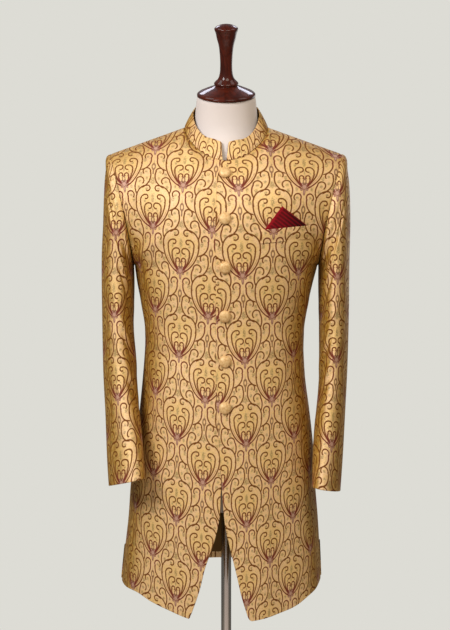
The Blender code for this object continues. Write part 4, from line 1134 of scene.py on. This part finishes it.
def sleeve_shape(side):
    """A sleeve: points, UVs and where the inside is lined. Turn 0 is the outer side, 90 degrees the front.

    At each turn a curve runs from the sleeve head through the rings. It is moved along its normals by the
    creases, each a depth times bell curves of the turn and of the distance down.
    """
    half = SLEEVE_AROUND // 2
    turn = 2 * pi * np.arange(SLEEVE_AROUND) / SLEEVE_AROUND
    table = SLEEVE_RINGS[side]
    knots = np.array([0.0, 0.08] + [1.0 + k for k in range(len(table))])
    places = np.stack([*sleeve_head(turn, side), *(ring_point(turn, side, ring) for ring in table)])
    at = np.concatenate([[0.0, 0.03, 0.08, 0.16, 0.26, 0.4], spaced(0.5, knots[-1], 150, (), (0.01, 0.03))])
    down = np.broadcast_to(at[:, None], (len(at), SLEEVE_AROUND))
    points = through(down, knots, np.broadcast_to(places[:, None], (len(knots), *down.shape, 3)))
    normals = grid_normals(points, True)
    if ((points - points.mean(1, keepdims=True)) * normals)[40:].sum() < 0:
        normals = -normals
    move = -SEAM_DIP * np.exp(-(down / SEAM_REACH) ** 2) * np.cos(turn / 2) ** 2
    for where, ring, spread, length, depth in SLEEVE_CREASES[side]:
        off = (np.degrees(turn) - where + 180) % 360 - 180
        move += depth * np.exp(-(off / spread) ** 2 - ((down - ring - CREASE_SLANT * off) / length) ** 2)
    points = points + normals * (move * mix(0.001, 1.0, fade(down, 0.0, 0.3)))[..., None]
    # The texture's own seam runs along the underarm, so the grid starts there
    points, normals = np.roll(points, -half, 1), np.roll(normals, -half, 1)
    closed = np.concatenate([points, points[:, :1]], 1)
    normals = np.concatenate([normals, normals[:, :1]], 1)
    uv = lay_out(closed, normals, climbing(normals), np.zeros(len(at)), int(np.searchsorted(at, 3.0)))
    # The grain line stays to the front while the forearm turns in
    turned = np.radians([table[0][6]] * 2 + [ring[6] for ring in table])
    wanted = (1.5 * pi - np.interp(at, knots, turned)) * SLEEVE_AROUND / (2 * pi)
    for row, place in zip(uv, wanted):
        row[:, 0] -= np.interp(place, np.arange(SLEEVE_AROUND + 1), row[:, 0])
    # Above the first whole ring the pattern keeps to the ring's own lines, carried straight up
    whole = int(np.searchsorted(at, 1.6))
    about = closed[:whole + 1] - closed[whole, :-1].mean(0)
    bearing = np.arctan2(-about[..., 1], side * about[..., 0])
    bearing[:, 0], bearing[:, -1] = -pi, pi
    order = np.argsort(bearing[whole])
    known = bearing[whole, order]
    lift = (uv[whole, :, 1] - closed[whole, :, 2])[order]
    uv[:whole, :, 0] = np.interp(bearing[:whole], known, uv[whole, order, 0])
    uv[:whole, :, 1] = closed[:whole, :, 2] + np.interp(bearing[:whole], known, lift)
    inside = np.broadcast_to((at[:-1] < knots[-1] - SLEEVE_BAND)[:, None], (len(at) - 1, SLEEVE_AROUND))
    return points, in_repeat(uv, f"sleeve_{SIDES[side]}"), inside


def collar_shape():
    """The stand collar: the neckline moved in and up, with corners rounded by a quarter circle at the throat."""
    start = NOTCH_X / NECK_HALF_WIDTH
    near_ends = (0.004, 0.010, 0.018, 0.03)
    turn = start + spaced(0.0, 2 * pi, 260, near_ends, near_ends)
    up = np.array([0.0, 0.06, 0.16, 0.30, 0.46, 0.62, 0.76, 0.86, 0.94, 0.98, 1.0])[:, None]
    place = neckline(turn)[None]
    on_left = turn < pi
    from_end = np.minimum(turn - start, start + 2 * pi - turn) * NECK_HALF_WIDTH
    inset = np.clip(1 - from_end / COLLAR_CORNER, 0, 1)
    height = through(from_end, *COLLAR_HEIGHTS.T) - COLLAR_CORNER * CORNER_DROP * (1 - np.sqrt(1 - inset ** 2))
    inward = unit(xyz(-place[..., 0], NECK_MIDDLE[0] - place[..., 1], 0.0))
    # The band leans in as it rises and bellies out a little between its two edges
    points = place + inward * (COLLAR_LEAN * up - COLLAR_BELLY * np.sin(pi * up))[..., None]
    points[..., 2] += COLLAR_SEAT + height * up
    near = np.clip(1 - from_end / NOTCH_REACH, 0, 1)
    parting = GAP + mix(NOTCH_HALF_FOOT, NOTCH_HALF_TOP, up ** 0.8) * near * near
    points[..., 0] += np.where(on_left, parting, -parting)
    points[..., 1] -= np.where(on_left, lap_lift(place[..., 0], place[..., 2]), 0.0)
    steps = np.linalg.norm(np.diff(points[0], axis=0), axis=-1)
    u = np.concatenate([[0.0], np.cumsum(steps)])
    uv = np.stack(np.broadcast_arrays(u[None], height[None] * up), -1)
    return points, in_repeat(uv, "collar")


def matched_uv(points, front_points, front_uv):
    """u and v for a piece on the front: least-squares polynomials in x and z of the front's own u and v round it."""
    centre = points.reshape(-1, 3)[:, [0, 2]].mean(0)
    known = front_points.reshape(-1, 3)
    near = np.linalg.norm(known[:, [0, 2]] - centre, axis=1) < 0.08

    def terms(place):
        """1, x, z, their squares and product, and the cube of x."""
        x, z = place[..., 0] - centre[0], place[..., 2] - centre[1]
        return np.stack([np.ones_like(x), x, z, x * x, x * z, z * z, x ** 3], -1)

    fit = np.linalg.lstsq(terms(known[near]), front_uv.reshape(-1, 2)[near], rcond=None)[0]
    return terms(points) @ fit


class SHERWANI_OT_coat(bpy.types.Operator):
    """Makes the two fronts, the back, the sleeves, the collar and the breast pocket's welt."""
    bl_idname = "sherwani.coat"
    bl_label = "Brocade coat"

    def execute(self, context):
        sizes = coat()
        inside = lining()
        fronts = {}
        for side, word in SIDES.items():
            points, uv, inner = front_shape(side)
            fronts[word] = points, uv
            cloth = brocade(f"silk_brocade_front_{word}")
            made = shell(f"front_{word}", points, sizes.wall, uv, [cloth, inside], inside=inner,
                         round_edges=(1, 0, 0, 1))
            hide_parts(f"front_wearers_{word}")
        points, uv, inner = back_shape()
        made = shell("back_panel", points, sizes.wall, uv, [brocade("silk_brocade_back"), inside],
                     inside=inner, round_edges=(1, 0, 0, 0))
        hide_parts("back")
        for side, word in SIDES.items():
            points, uv, inner = sleeve_shape(side)
            cloth = brocade(f"silk_brocade_sleeve_{word}")
            made = shell(f"sleeve_{word}", points, sizes.sleeve_wall, uv, [cloth, inside], closed=True,
                         inside=inner, round_edges=(0, 0, 1, 0))
            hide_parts(f"sleeve_wearers_{word}")
        points, uv = collar_shape()
        made = shell("stand_collar", points, sizes.collar_wall, uv,
                     [brocade("silk_brocade_collar")], round_edges=(0, 1, 1, 1))
        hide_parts("collar")

        share = spaced(0.0, 1.0, 60)[None]
        up = np.array([0.0, 0.03, 0.10, 0.2, 0.30, 0.4, 0.50, 0.6, 0.75, 0.9, 0.97, 1.0])[:, None]
        x = mix(WELT_INNER[0], WELT_OUTER[0], share) + 0 * up
        mouth = mix(WELT_INNER[1], WELT_OUTER[1], share)
        off = GAP + WELT_WALL + (SQUARE_WALL + GAP + 0.0001) * fade(up, 0.12, 0.50) + 0 * x
        points, _ = on_front(x, mouth - WELT_HEIGHT * (1 - up), off)
        uv = matched_uv(points, *fronts["left"])
        made = shell("pocket_welt_cloth", points, WELT_WALL, uv,
                     [bpy.data.materials["silk_brocade_front_left"]])
        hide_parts("pocket_welt")
        return {'FINISHED'}


class SHERWANI_OT_square(bpy.types.Operator):
    """Makes the folded pocket square."""
    bl_idname = "sherwani.square"
    bl_label = "Pocket square"

    def execute(self, context):
        left, right = SQUARE_BASE
        peak_x, peak_z = SQUARE_PEAK
        slope = (WELT_OUTER[1] - WELT_INNER[1]) / (WELT_OUTER[0] - WELT_INNER[0])

        def mouth(x):
            """Height of the pocket's mouth."""
            return WELT_INNER[1] + (x - WELT_INNER[0]) * slope

        peak_share = (peak_x - left) / (right - left)
        share = np.unique(np.append(np.linspace(0, peak_share, 60), np.linspace(peak_share, 1, 90)))[None]
        up = np.linspace(0, 1, 60)[:, None]
        x = mix(left, right, share) + 0 * up
        base = mouth(x)
        tent = np.where(share < peak_share, share / peak_share, (1 - share) / (1 - peak_share))
        top = base + (peak_z - mouth(peak_x)) * tent
        z = base - SQUARE_HIDDEN + (top - base + SQUARE_HIDDEN) * up
        # Pleats lie along the slope that falls to the wearer's left: each is a ramp that drops at its end
        fall = np.array([right - peak_x, mouth(right) - peak_z])
        fall = fall / np.linalg.norm(fall)
        below = -((x - peak_x) * fall[1] - (z - peak_z) * fall[0])
        phase = np.abs(below) / coat().rib % 1.0
        ramp = np.where(phase < PLEAT_CREST, phase / PLEAT_CREST, (1 - phase) / (1 - PLEAT_CREST))
        quiet = np.clip(tent * 6, 0, 1) * fade(z - base, -0.002, 0.003)
        off = GAP + SQUARE_WALL + PLEAT_RISE * ramp * quiet
        points, _ = on_front(x, z, off)
        inward = -on_front(x, z, 0 * x)[1]
        uv = np.stack([x, np.abs(below)], -1)
        made = shell("folded_square", points, SQUARE_WALL, uv, [red_rib()], inward=inward)
        stripe = 0.5 - 0.5 * np.cos(2 * pi * (phase - 0.1))
        # Painted shade: dark stripes between the pleats, which fade out into a plain band along the other slope, and
        # painted shade that darkens the square away from it
        banded = fade((x - left) / (peak_x - left) * (peak_z - mouth(peak_x)) - (z - mouth(x)), 0.004, 0.010)
        shade = banded * (0.12 + 0.62 * stripe) + 0.45 * fade(x, peak_x - 0.010, right) + 0.05
        set_painted_shade(made, np.clip(shade, 0, 1).ravel())
        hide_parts("pocket_square")
        return {'FINISHED'}


class SHERWANI_OT_buttons(bpy.types.Operator):
    """Makes the six domed buttons."""
    bl_idname = "sherwani.buttons"
    bl_label = "Buttons"

    def execute(self, context):
        radius, high = coat().button_radius, coat().button_height
        turn = np.linspace(0.0, pi / 2, 16)
        dome = np.stack([radius * np.sin(turn), DOME_FOOT + (high - DOME_FOOT) * np.cos(turn) ** 0.92], 1)
        rim = [(0.0, 0.0), (radius * 0.93, 0.0), (radius * 0.955, 0.0003), (radius * 0.985, 0.0010)]
        profile = np.concatenate([rim, dome[::-1]])
        brass = satin_brass()
        for index, z in enumerate(BUTTON_Z):
            (place,), (axis,) = on_front([BUTTON_X], [z], [0.0])
            side = unit(np.cross([0.0, 0.0, 1.0], axis))
            made = lathe(f"button_dome_{index + 1}", profile, 48, [brass], place + axis * BUTTON_SEAT,
                         np.stack([side, np.cross(axis, side), axis]))
            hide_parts(f"button_{index + 1}")
        return {'FINISHED'}


# Form rings: height, half width, depth to the front, depth to the back, middle y, exponent
FORM_RINGS = np.array([
    (0.745, 0.1420, 0.1040, 0.1120, 0.000, 2.2),
    (0.760, 0.1500, 0.1100, 0.1180, 0.000, 2.2),
    (0.820, 0.1560, 0.1150, 0.1240, 0.000, 2.2),
    (0.900, 0.1530, 0.1140, 0.1210, 0.000, 2.2),
    (0.980, 0.1430, 0.1080, 0.1100, 0.000, 2.2),
    (1.060, 0.1380, 0.1030, 0.0970, 0.000, 2.2),
    (1.130, 0.1450, 0.1060, 0.1000, 0.000, 2.2),
    (1.200, 0.1590, 0.1140, 0.1080, 0.000, 2.2),
    (1.270, 0.1680, 0.1160, 0.1100, 0.000, 2.2),
    (1.330, 0.1800, 0.1040, 0.1000, 0.001, 2.1),
    (1.380, 0.1900, 0.0780, 0.0760, 0.002, 2.0),
    (1.408, 0.1930, 0.0580, 0.0560, 0.003, 2.0),
])
SHOULDER_RIDGE_RINGS = [(0.0400, 0.0540, 0.0500, 1.3), (0.0260, 0.0460, 0.0420, 1.1), (0.0130, 0.0460, 0.0400, 0.95)]
# Neck rings: height along the neck, half width, depth to the front, depth to the back
NECK_RINGS = [(0.000, 0.0640, 0.0580, 0.0540), (0.016, 0.0600, 0.0545, 0.0525), (0.036, 0.0585, 0.0520, 0.0520),
              (0.056, 0.0566, 0.0520, 0.0520), (0.0640, 0.0553, 0.0520, 0.0520), (0.0658, 0.0545, 0.0508, 0.0508),
              (0.0660, 0.0530, 0.0495, 0.0495)]
# Root of the neck inside the collar, where it runs down into the chest: height, half width, depth to the front
NECK_ROOT = np.array([(1.360, 0.0500, 0.0500), (1.375, 0.0590, 0.0800), (1.385, 0.0620, 0.0840),
                      (1.397, 0.0620, 0.0810), (1.408, 0.0620, 0.0765), (1.4257, 0.0620, 0.0695),
                      (1.4397, 0.0625, 0.0645), (1.4527, 0.0630, 0.0600)])
NECK_ROOT_BACK = 0.048
SEAT_GAP = 0.0010        # between the form's shoulders and the coat


def with_root(points, z):
    """A ring of the form widened to the neck's root, an oval round the middle, wherever the root is wider."""
    if z < NECK_ROOT[0, 0]:
        return points
    width, front = through(np.array([z]), NECK_ROOT[:, 0], NECK_ROOT[:, 1:])[0]
    flat = points[:, :2]
    reach = np.linalg.norm(flat, axis=1)
    depth = np.where(flat[:, 1] < 0, front, NECK_ROOT_BACK)
    root = reach / np.hypot(flat[:, 0] / width, flat[:, 1] / depth)
    wider = flat * np.maximum(1.0, root / reach)[:, None]
    return xyz(wider[:, 0], wider[:, 1], points[:, 2])


def form_rings():
    """Rings of the form: its body from the table, a ridge under the shoulder seams, then the neck, leaning."""
    angle = 2 * pi * np.arange(96) / 96

    def ring(half_width, front, back, middle_y, z, exponent):
        """A level superellipse whose depth differs in front and behind."""
        depth = np.where(np.cos(angle) > 0, front, back)
        x, y = superellipse(angle, half_width, depth, exponent)
        return xyz(x, middle_y - y, z)

    heights = spaced(FORM_RINGS[0, 0], FORM_RINGS[-1, 0], 60, (0.002, 0.005, 0.008))
    rows = [with_root(ring(*row[:4], z, row[4]), z)
            for z, row in zip(heights, through(heights, FORM_RINGS[:, 0], FORM_RINGS[:, 1:]))]
    neck_side = neckline(pi / 2)
    reach = SHOULDER_TIP[0] - NECK_HALF_WIDTH
    fall = (neck_side[2] - SHOULDER_TIP[2]) / reach
    below = (coat().wall + SEAT_GAP) * (1 + fall * fall) ** 0.5
    for down, front, back, exponent in SHOULDER_RIDGE_RINGS:
        z = neck_side[2] - 0.0020 - down
        out = (neck_side[2] - below - z) / fall
        y = mix(neck_side[1], SHOULDER_TIP[1], out / reach)
        rows.append(with_root(ring(NECK_HALF_WIDTH + out, front, back, y, z, exponent), z))
    for high, half_width, front, back in NECK_RINGS:
        lean = NECK_TILT if high > 0.01 else NECK_TILT * 0.6
        rows.append(NECK_FOOT + ring(half_width, front, back, 0.0, high, 2.0) @ tilt(lean))
    rings = np.stack(rows)
    # In front the neck's root is evened out, so that it runs into the chest without an edge
    middle = fade(np.cos(angle), 0.2, 0.7)[:, None]
    for _ in range(4):
        even = 0.25 * rings[:-2] + 0.5 * rings[1:-1] + 0.25 * rings[2:]
        z = rings[1:-1, :, 2:]
        rings[1:-1] = mix(rings[1:-1], even, middle * fade(z, 1.37, 1.39) * fade(z, 1.50, 1.48))
    return rings


# Turned neck cap with its finial, from the foot up: radius, height on its own axis
CAP_PROFILE = [
    (0.0000, 0.0000), (0.0553, 0.0000), (0.0553, 0.0035), (0.0535, 0.0055), (0.0450, 0.0100),
    (0.0330, 0.0152), (0.0228, 0.0196), (0.0216, 0.0206), (0.0230, 0.0224), (0.0228, 0.0246),
    (0.0204, 0.0276), (0.0160, 0.0320), (0.0134, 0.0380), (0.0119, 0.0460), (0.0114, 0.0565), (0.0121, 0.0775),
    (0.0143, 0.0960), (0.0178, 0.1090), (0.0202, 0.1200), (0.0219, 0.1240), (0.0222, 0.1268),
    (0.0205, 0.1290), (0.0150, 0.1322), (0.0080, 0.1343), (0.0000, 0.1350),
]
POLE_CHAMFER = 0.0006
# Base from below, its rim and its boss: radius less the rim's, height; radius, height; radius, height less the boss's
BASE_RIM = [(-0.001, 0.0), (0.0, 0.001), (0.0, 0.0055), (-0.0010, 0.0080), (-0.0060, 0.0100), (-0.030, 0.0140)]
BASE_COLLAR = [(0.0400, 0.0160), (0.0300, 0.0172), (0.0240, 0.0205), (0.0200, 0.0260)]
BASE_BOSS = [(0.0190, -0.0040), (0.0182, -0.0012), (0.0165, 0.0), (0.0, 0.0)]


class SHERWANI_OT_form(bpy.types.Operator):
    """Makes the limbless form with its neck, the turned cap, the pole and the base."""
    bl_idname = "sherwani.form"
    bl_label = "Dress form and stand"

    def execute(self, context):
        rings = form_rings()
        made = closed_loft("form_body", rings, np.stack([rings[0].mean(0), rings[-1].mean(0)]), [jersey()])
        made.data.set_sharp_from_angle(angle=radians(50))
        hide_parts("dress_form")

        lean = tilt(NECK_TILT)
        seat = NECK_FOOT + np.array([0.0, 0.0, NECK_RINGS[-1][0] + GAP]) @ lean
        made = lathe("turned_neck_cap", soften(CAP_PROFILE, 5), 96, [lacquered_wood()], seat, lean)
        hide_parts("neck_cap")

        chrome = polished_chrome()
        low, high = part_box("pole")
        radius = 0.5 * (high[0] - low[0])
        # The second ring from each end keeps the long wall's shading level
        foot = [(radius - POLE_CHAMFER, 0.0), (radius, POLE_CHAMFER), (radius, 3 * POLE_CHAMFER)]
        profile = ([(0.0, low[2])] + [(r, low[2] + up) for r, up in foot]
                   + [(r, high[2] - up) for r, up in reversed(foot)] + [(0.0, high[2])])
        made = lathe("chrome_pole", profile, 64, [chrome])
        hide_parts("pole")
        _, (edge, _, boss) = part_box("base")
        profile = ([(0.0, 0.0)] + [(edge + r, z) for r, z in BASE_RIM] + BASE_COLLAR
                   + [(r, boss + z) for r, z in BASE_BOSS])
        made = lathe("weighted_base", soften(profile, 4), 128, [chrome])
        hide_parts("base")
        return {'FINISHED'}


# ---------------------------------------------------------------- stage
CAMERA_AT = (-0.0023, -2.6, 1.25)
CAMERA_AIM = (CAMERA_AT[0], 0.0, 1.109)
CAMERA_LENS = 77.093     # millimetres, for 36 mm along the frame's longer side
FLOOR_RADIUS = 1.90
FLOOR_THICKNESS = 0.004
FLOOR_MIDDLE = (0.0, -0.5, 0.0)
FLOOR_MARKS = 0.96       # brightness of the floor's darker clouds
BACKDROP, ROOM = "dddcd5", "f2dcb4"
ROOM_LIGHT = 0.22        # share of the backdrop's brightness that the room's walls give
# Soft lights: name, place, aimed at, width and height, watts, tint. Round ones are soft boxes; the low card
# is a strip in front of the pole that gives the chrome its pale band.
LIGHTS = [
    ("key", (-1.15, -1.5, 2.15), (0, 0, 1.40), (0.8, 0.8), 30.0, "ffffff"),
    ("fill", (0.35, -1.3, 2.15), (0, 0, 1.40), (0.9, 0.9), 10.5, "fff6e4"),
    ("top_right", (-1.2, -0.3, 2.9), (0, 0, 1.30), (0.9, 0.9), 6.0, "ffffff"),
    ("top_left", (1.2, -0.3, 2.9), (0, 0, 1.30), (0.9, 0.9), 4.0, "ffffff"),
    ("back", (1.4, 2.0, 1.6), (0, 0, 1.15), (1.4, 1.4), 8.0, "ffffff"),
    ("behind_right", (-0.59, 1.38, 2.9), (0, 0, 1.55), (0.5, 0.5), 6.0, "e8ecff"),
    ("behind_left", (0.59, 1.38, 2.9), (0, 0, 1.55), (0.5, 0.5), 6.0, "e8ecff"),
    ("low_card", (0.22, -0.85, 0.24), (0.22, 0, 0.24), (1.8, 0.40), 1.0, "ffece4"),
]


def aimed(name, data, place, target):
    """A lamp or camera at its place, looking at its target."""
    held = bpy.data.objects.new(name, data)
    held.location = place
    held.rotation_euler = (Vector(target) - Vector(place)).to_track_quat('-Z', 'Y').to_euler()
    bpy.context.scene.collection.objects.link(held)
    return held


class SHERWANI_OT_stage(bpy.types.Operator):
    """Makes the floor, the lights, the pale surroundings and the camera."""
    bl_idname = "sherwani.stage"
    bl_label = "Stage"

    def execute(self, context):
        scene = context.scene
        paint, add, shader = principled("matt_floor_paint", roughness=0.9)
        clouds = add("TexNoise", add("TexCoord").node.outputs["Object"], 3.0, 4.0)
        clean = look_colour("floor")
        marked = [FLOOR_MARKS * part for part in clean[:3]] + [1.0]
        join(shader, {"Base Color": add("Mix:RGBA", clouds, clean, marked)})
        profile = [(0.0, -FLOOR_THICKNESS), (FLOOR_RADIUS, -FLOOR_THICKNESS), (FLOOR_RADIUS, 0.0), (0.0, 0.0)]
        lathe("floor", profile, 96, [paint], FLOOR_MIDDLE)

        world = bpy.data.worlds.new("pale_room")
        world.use_nodes = True
        add = partial(add_node, world.node_tree)
        # The paper backdrop is seen bright while the room it stands in gives little light
        path = add("LightPath").node.outputs
        join(world.node_tree.nodes["Background"], {
            "Strength": add("Math:MULTIPLY_ADD", path["Is Camera Ray"], 1.0 - ROOM_LIGHT, ROOM_LIGHT),
            "Color": add("Mix:RGBA", path["Is Diffuse Ray"], linear(BACKDROP), linear(ROOM)),
        })
        scene.world = world
        for name, place, target, size, power, tint in LIGHTS:
            lamp = bpy.data.lights.new(name, 'AREA')
            lamp.shape = 'ELLIPSE' if size[0] == size[1] else 'RECTANGLE'
            lamp.size, lamp.size_y = size
            lamp.energy = power
            lamp.color = linear(tint)[:3]
            aimed(name, lamp, place, target).visible_camera = False
        camera = bpy.data.cameras.new("camera")
        camera.lens = CAMERA_LENS
        camera.sensor_width = 36.0
        camera.sensor_fit = 'AUTO'
        scene.camera = aimed("camera", camera, CAMERA_AT, CAMERA_AIM)
        scene.view_settings.view_transform = 'Standard'
        return {'FINISHED'}


class SHERWANI_PT_panel(bpy.types.Panel):
    """Lists the pieces, their sizes and their colours."""
    bl_label = "Sherwani"
    bl_idname = "SHERWANI_PT_panel"
    bl_space_type = 'VIEW_3D'
    bl_region_type = 'UI'
    bl_category = "Sherwani"

    def draw(self, context):
        for piece in PIECES:
            self.layout.operator(piece.bl_idname)
        for group in (context.scene.sherwani_sizes, context.scene.sherwani_colours):
            for key in group.__annotations__:
                self.layout.prop(group, key)


PIECES = (SHERWANI_OT_stage, SHERWANI_OT_coat, SHERWANI_OT_square, SHERWANI_OT_buttons, SHERWANI_OT_form)
CLASSES = (SherwaniSizes, SherwaniColours) + PIECES + (SHERWANI_PT_panel,)


def register():
    """Adds the classes, and their sizes and colours to the scene."""
    for one in CLASSES:
        bpy.utils.register_class(one)
    bpy.types.Scene.sherwani_sizes = PointerProperty(type=SherwaniSizes)
    bpy.types.Scene.sherwani_colours = PointerProperty(type=SherwaniColours)


def unregister():
    """Takes them away again."""
    del bpy.types.Scene.sherwani_colours
    del bpy.types.Scene.sherwani_sizes
    for one in reversed(CLASSES):
        bpy.utils.unregister_class(one)


def main():
    """Makes everything."""
    register()
    bpy.ops.sherwani.stage()
    bpy.ops.sherwani.coat()
    bpy.ops.sherwani.square()
    bpy.ops.sherwani.buttons()
    bpy.ops.sherwani.form()


if __name__ == "__main__":
    main()
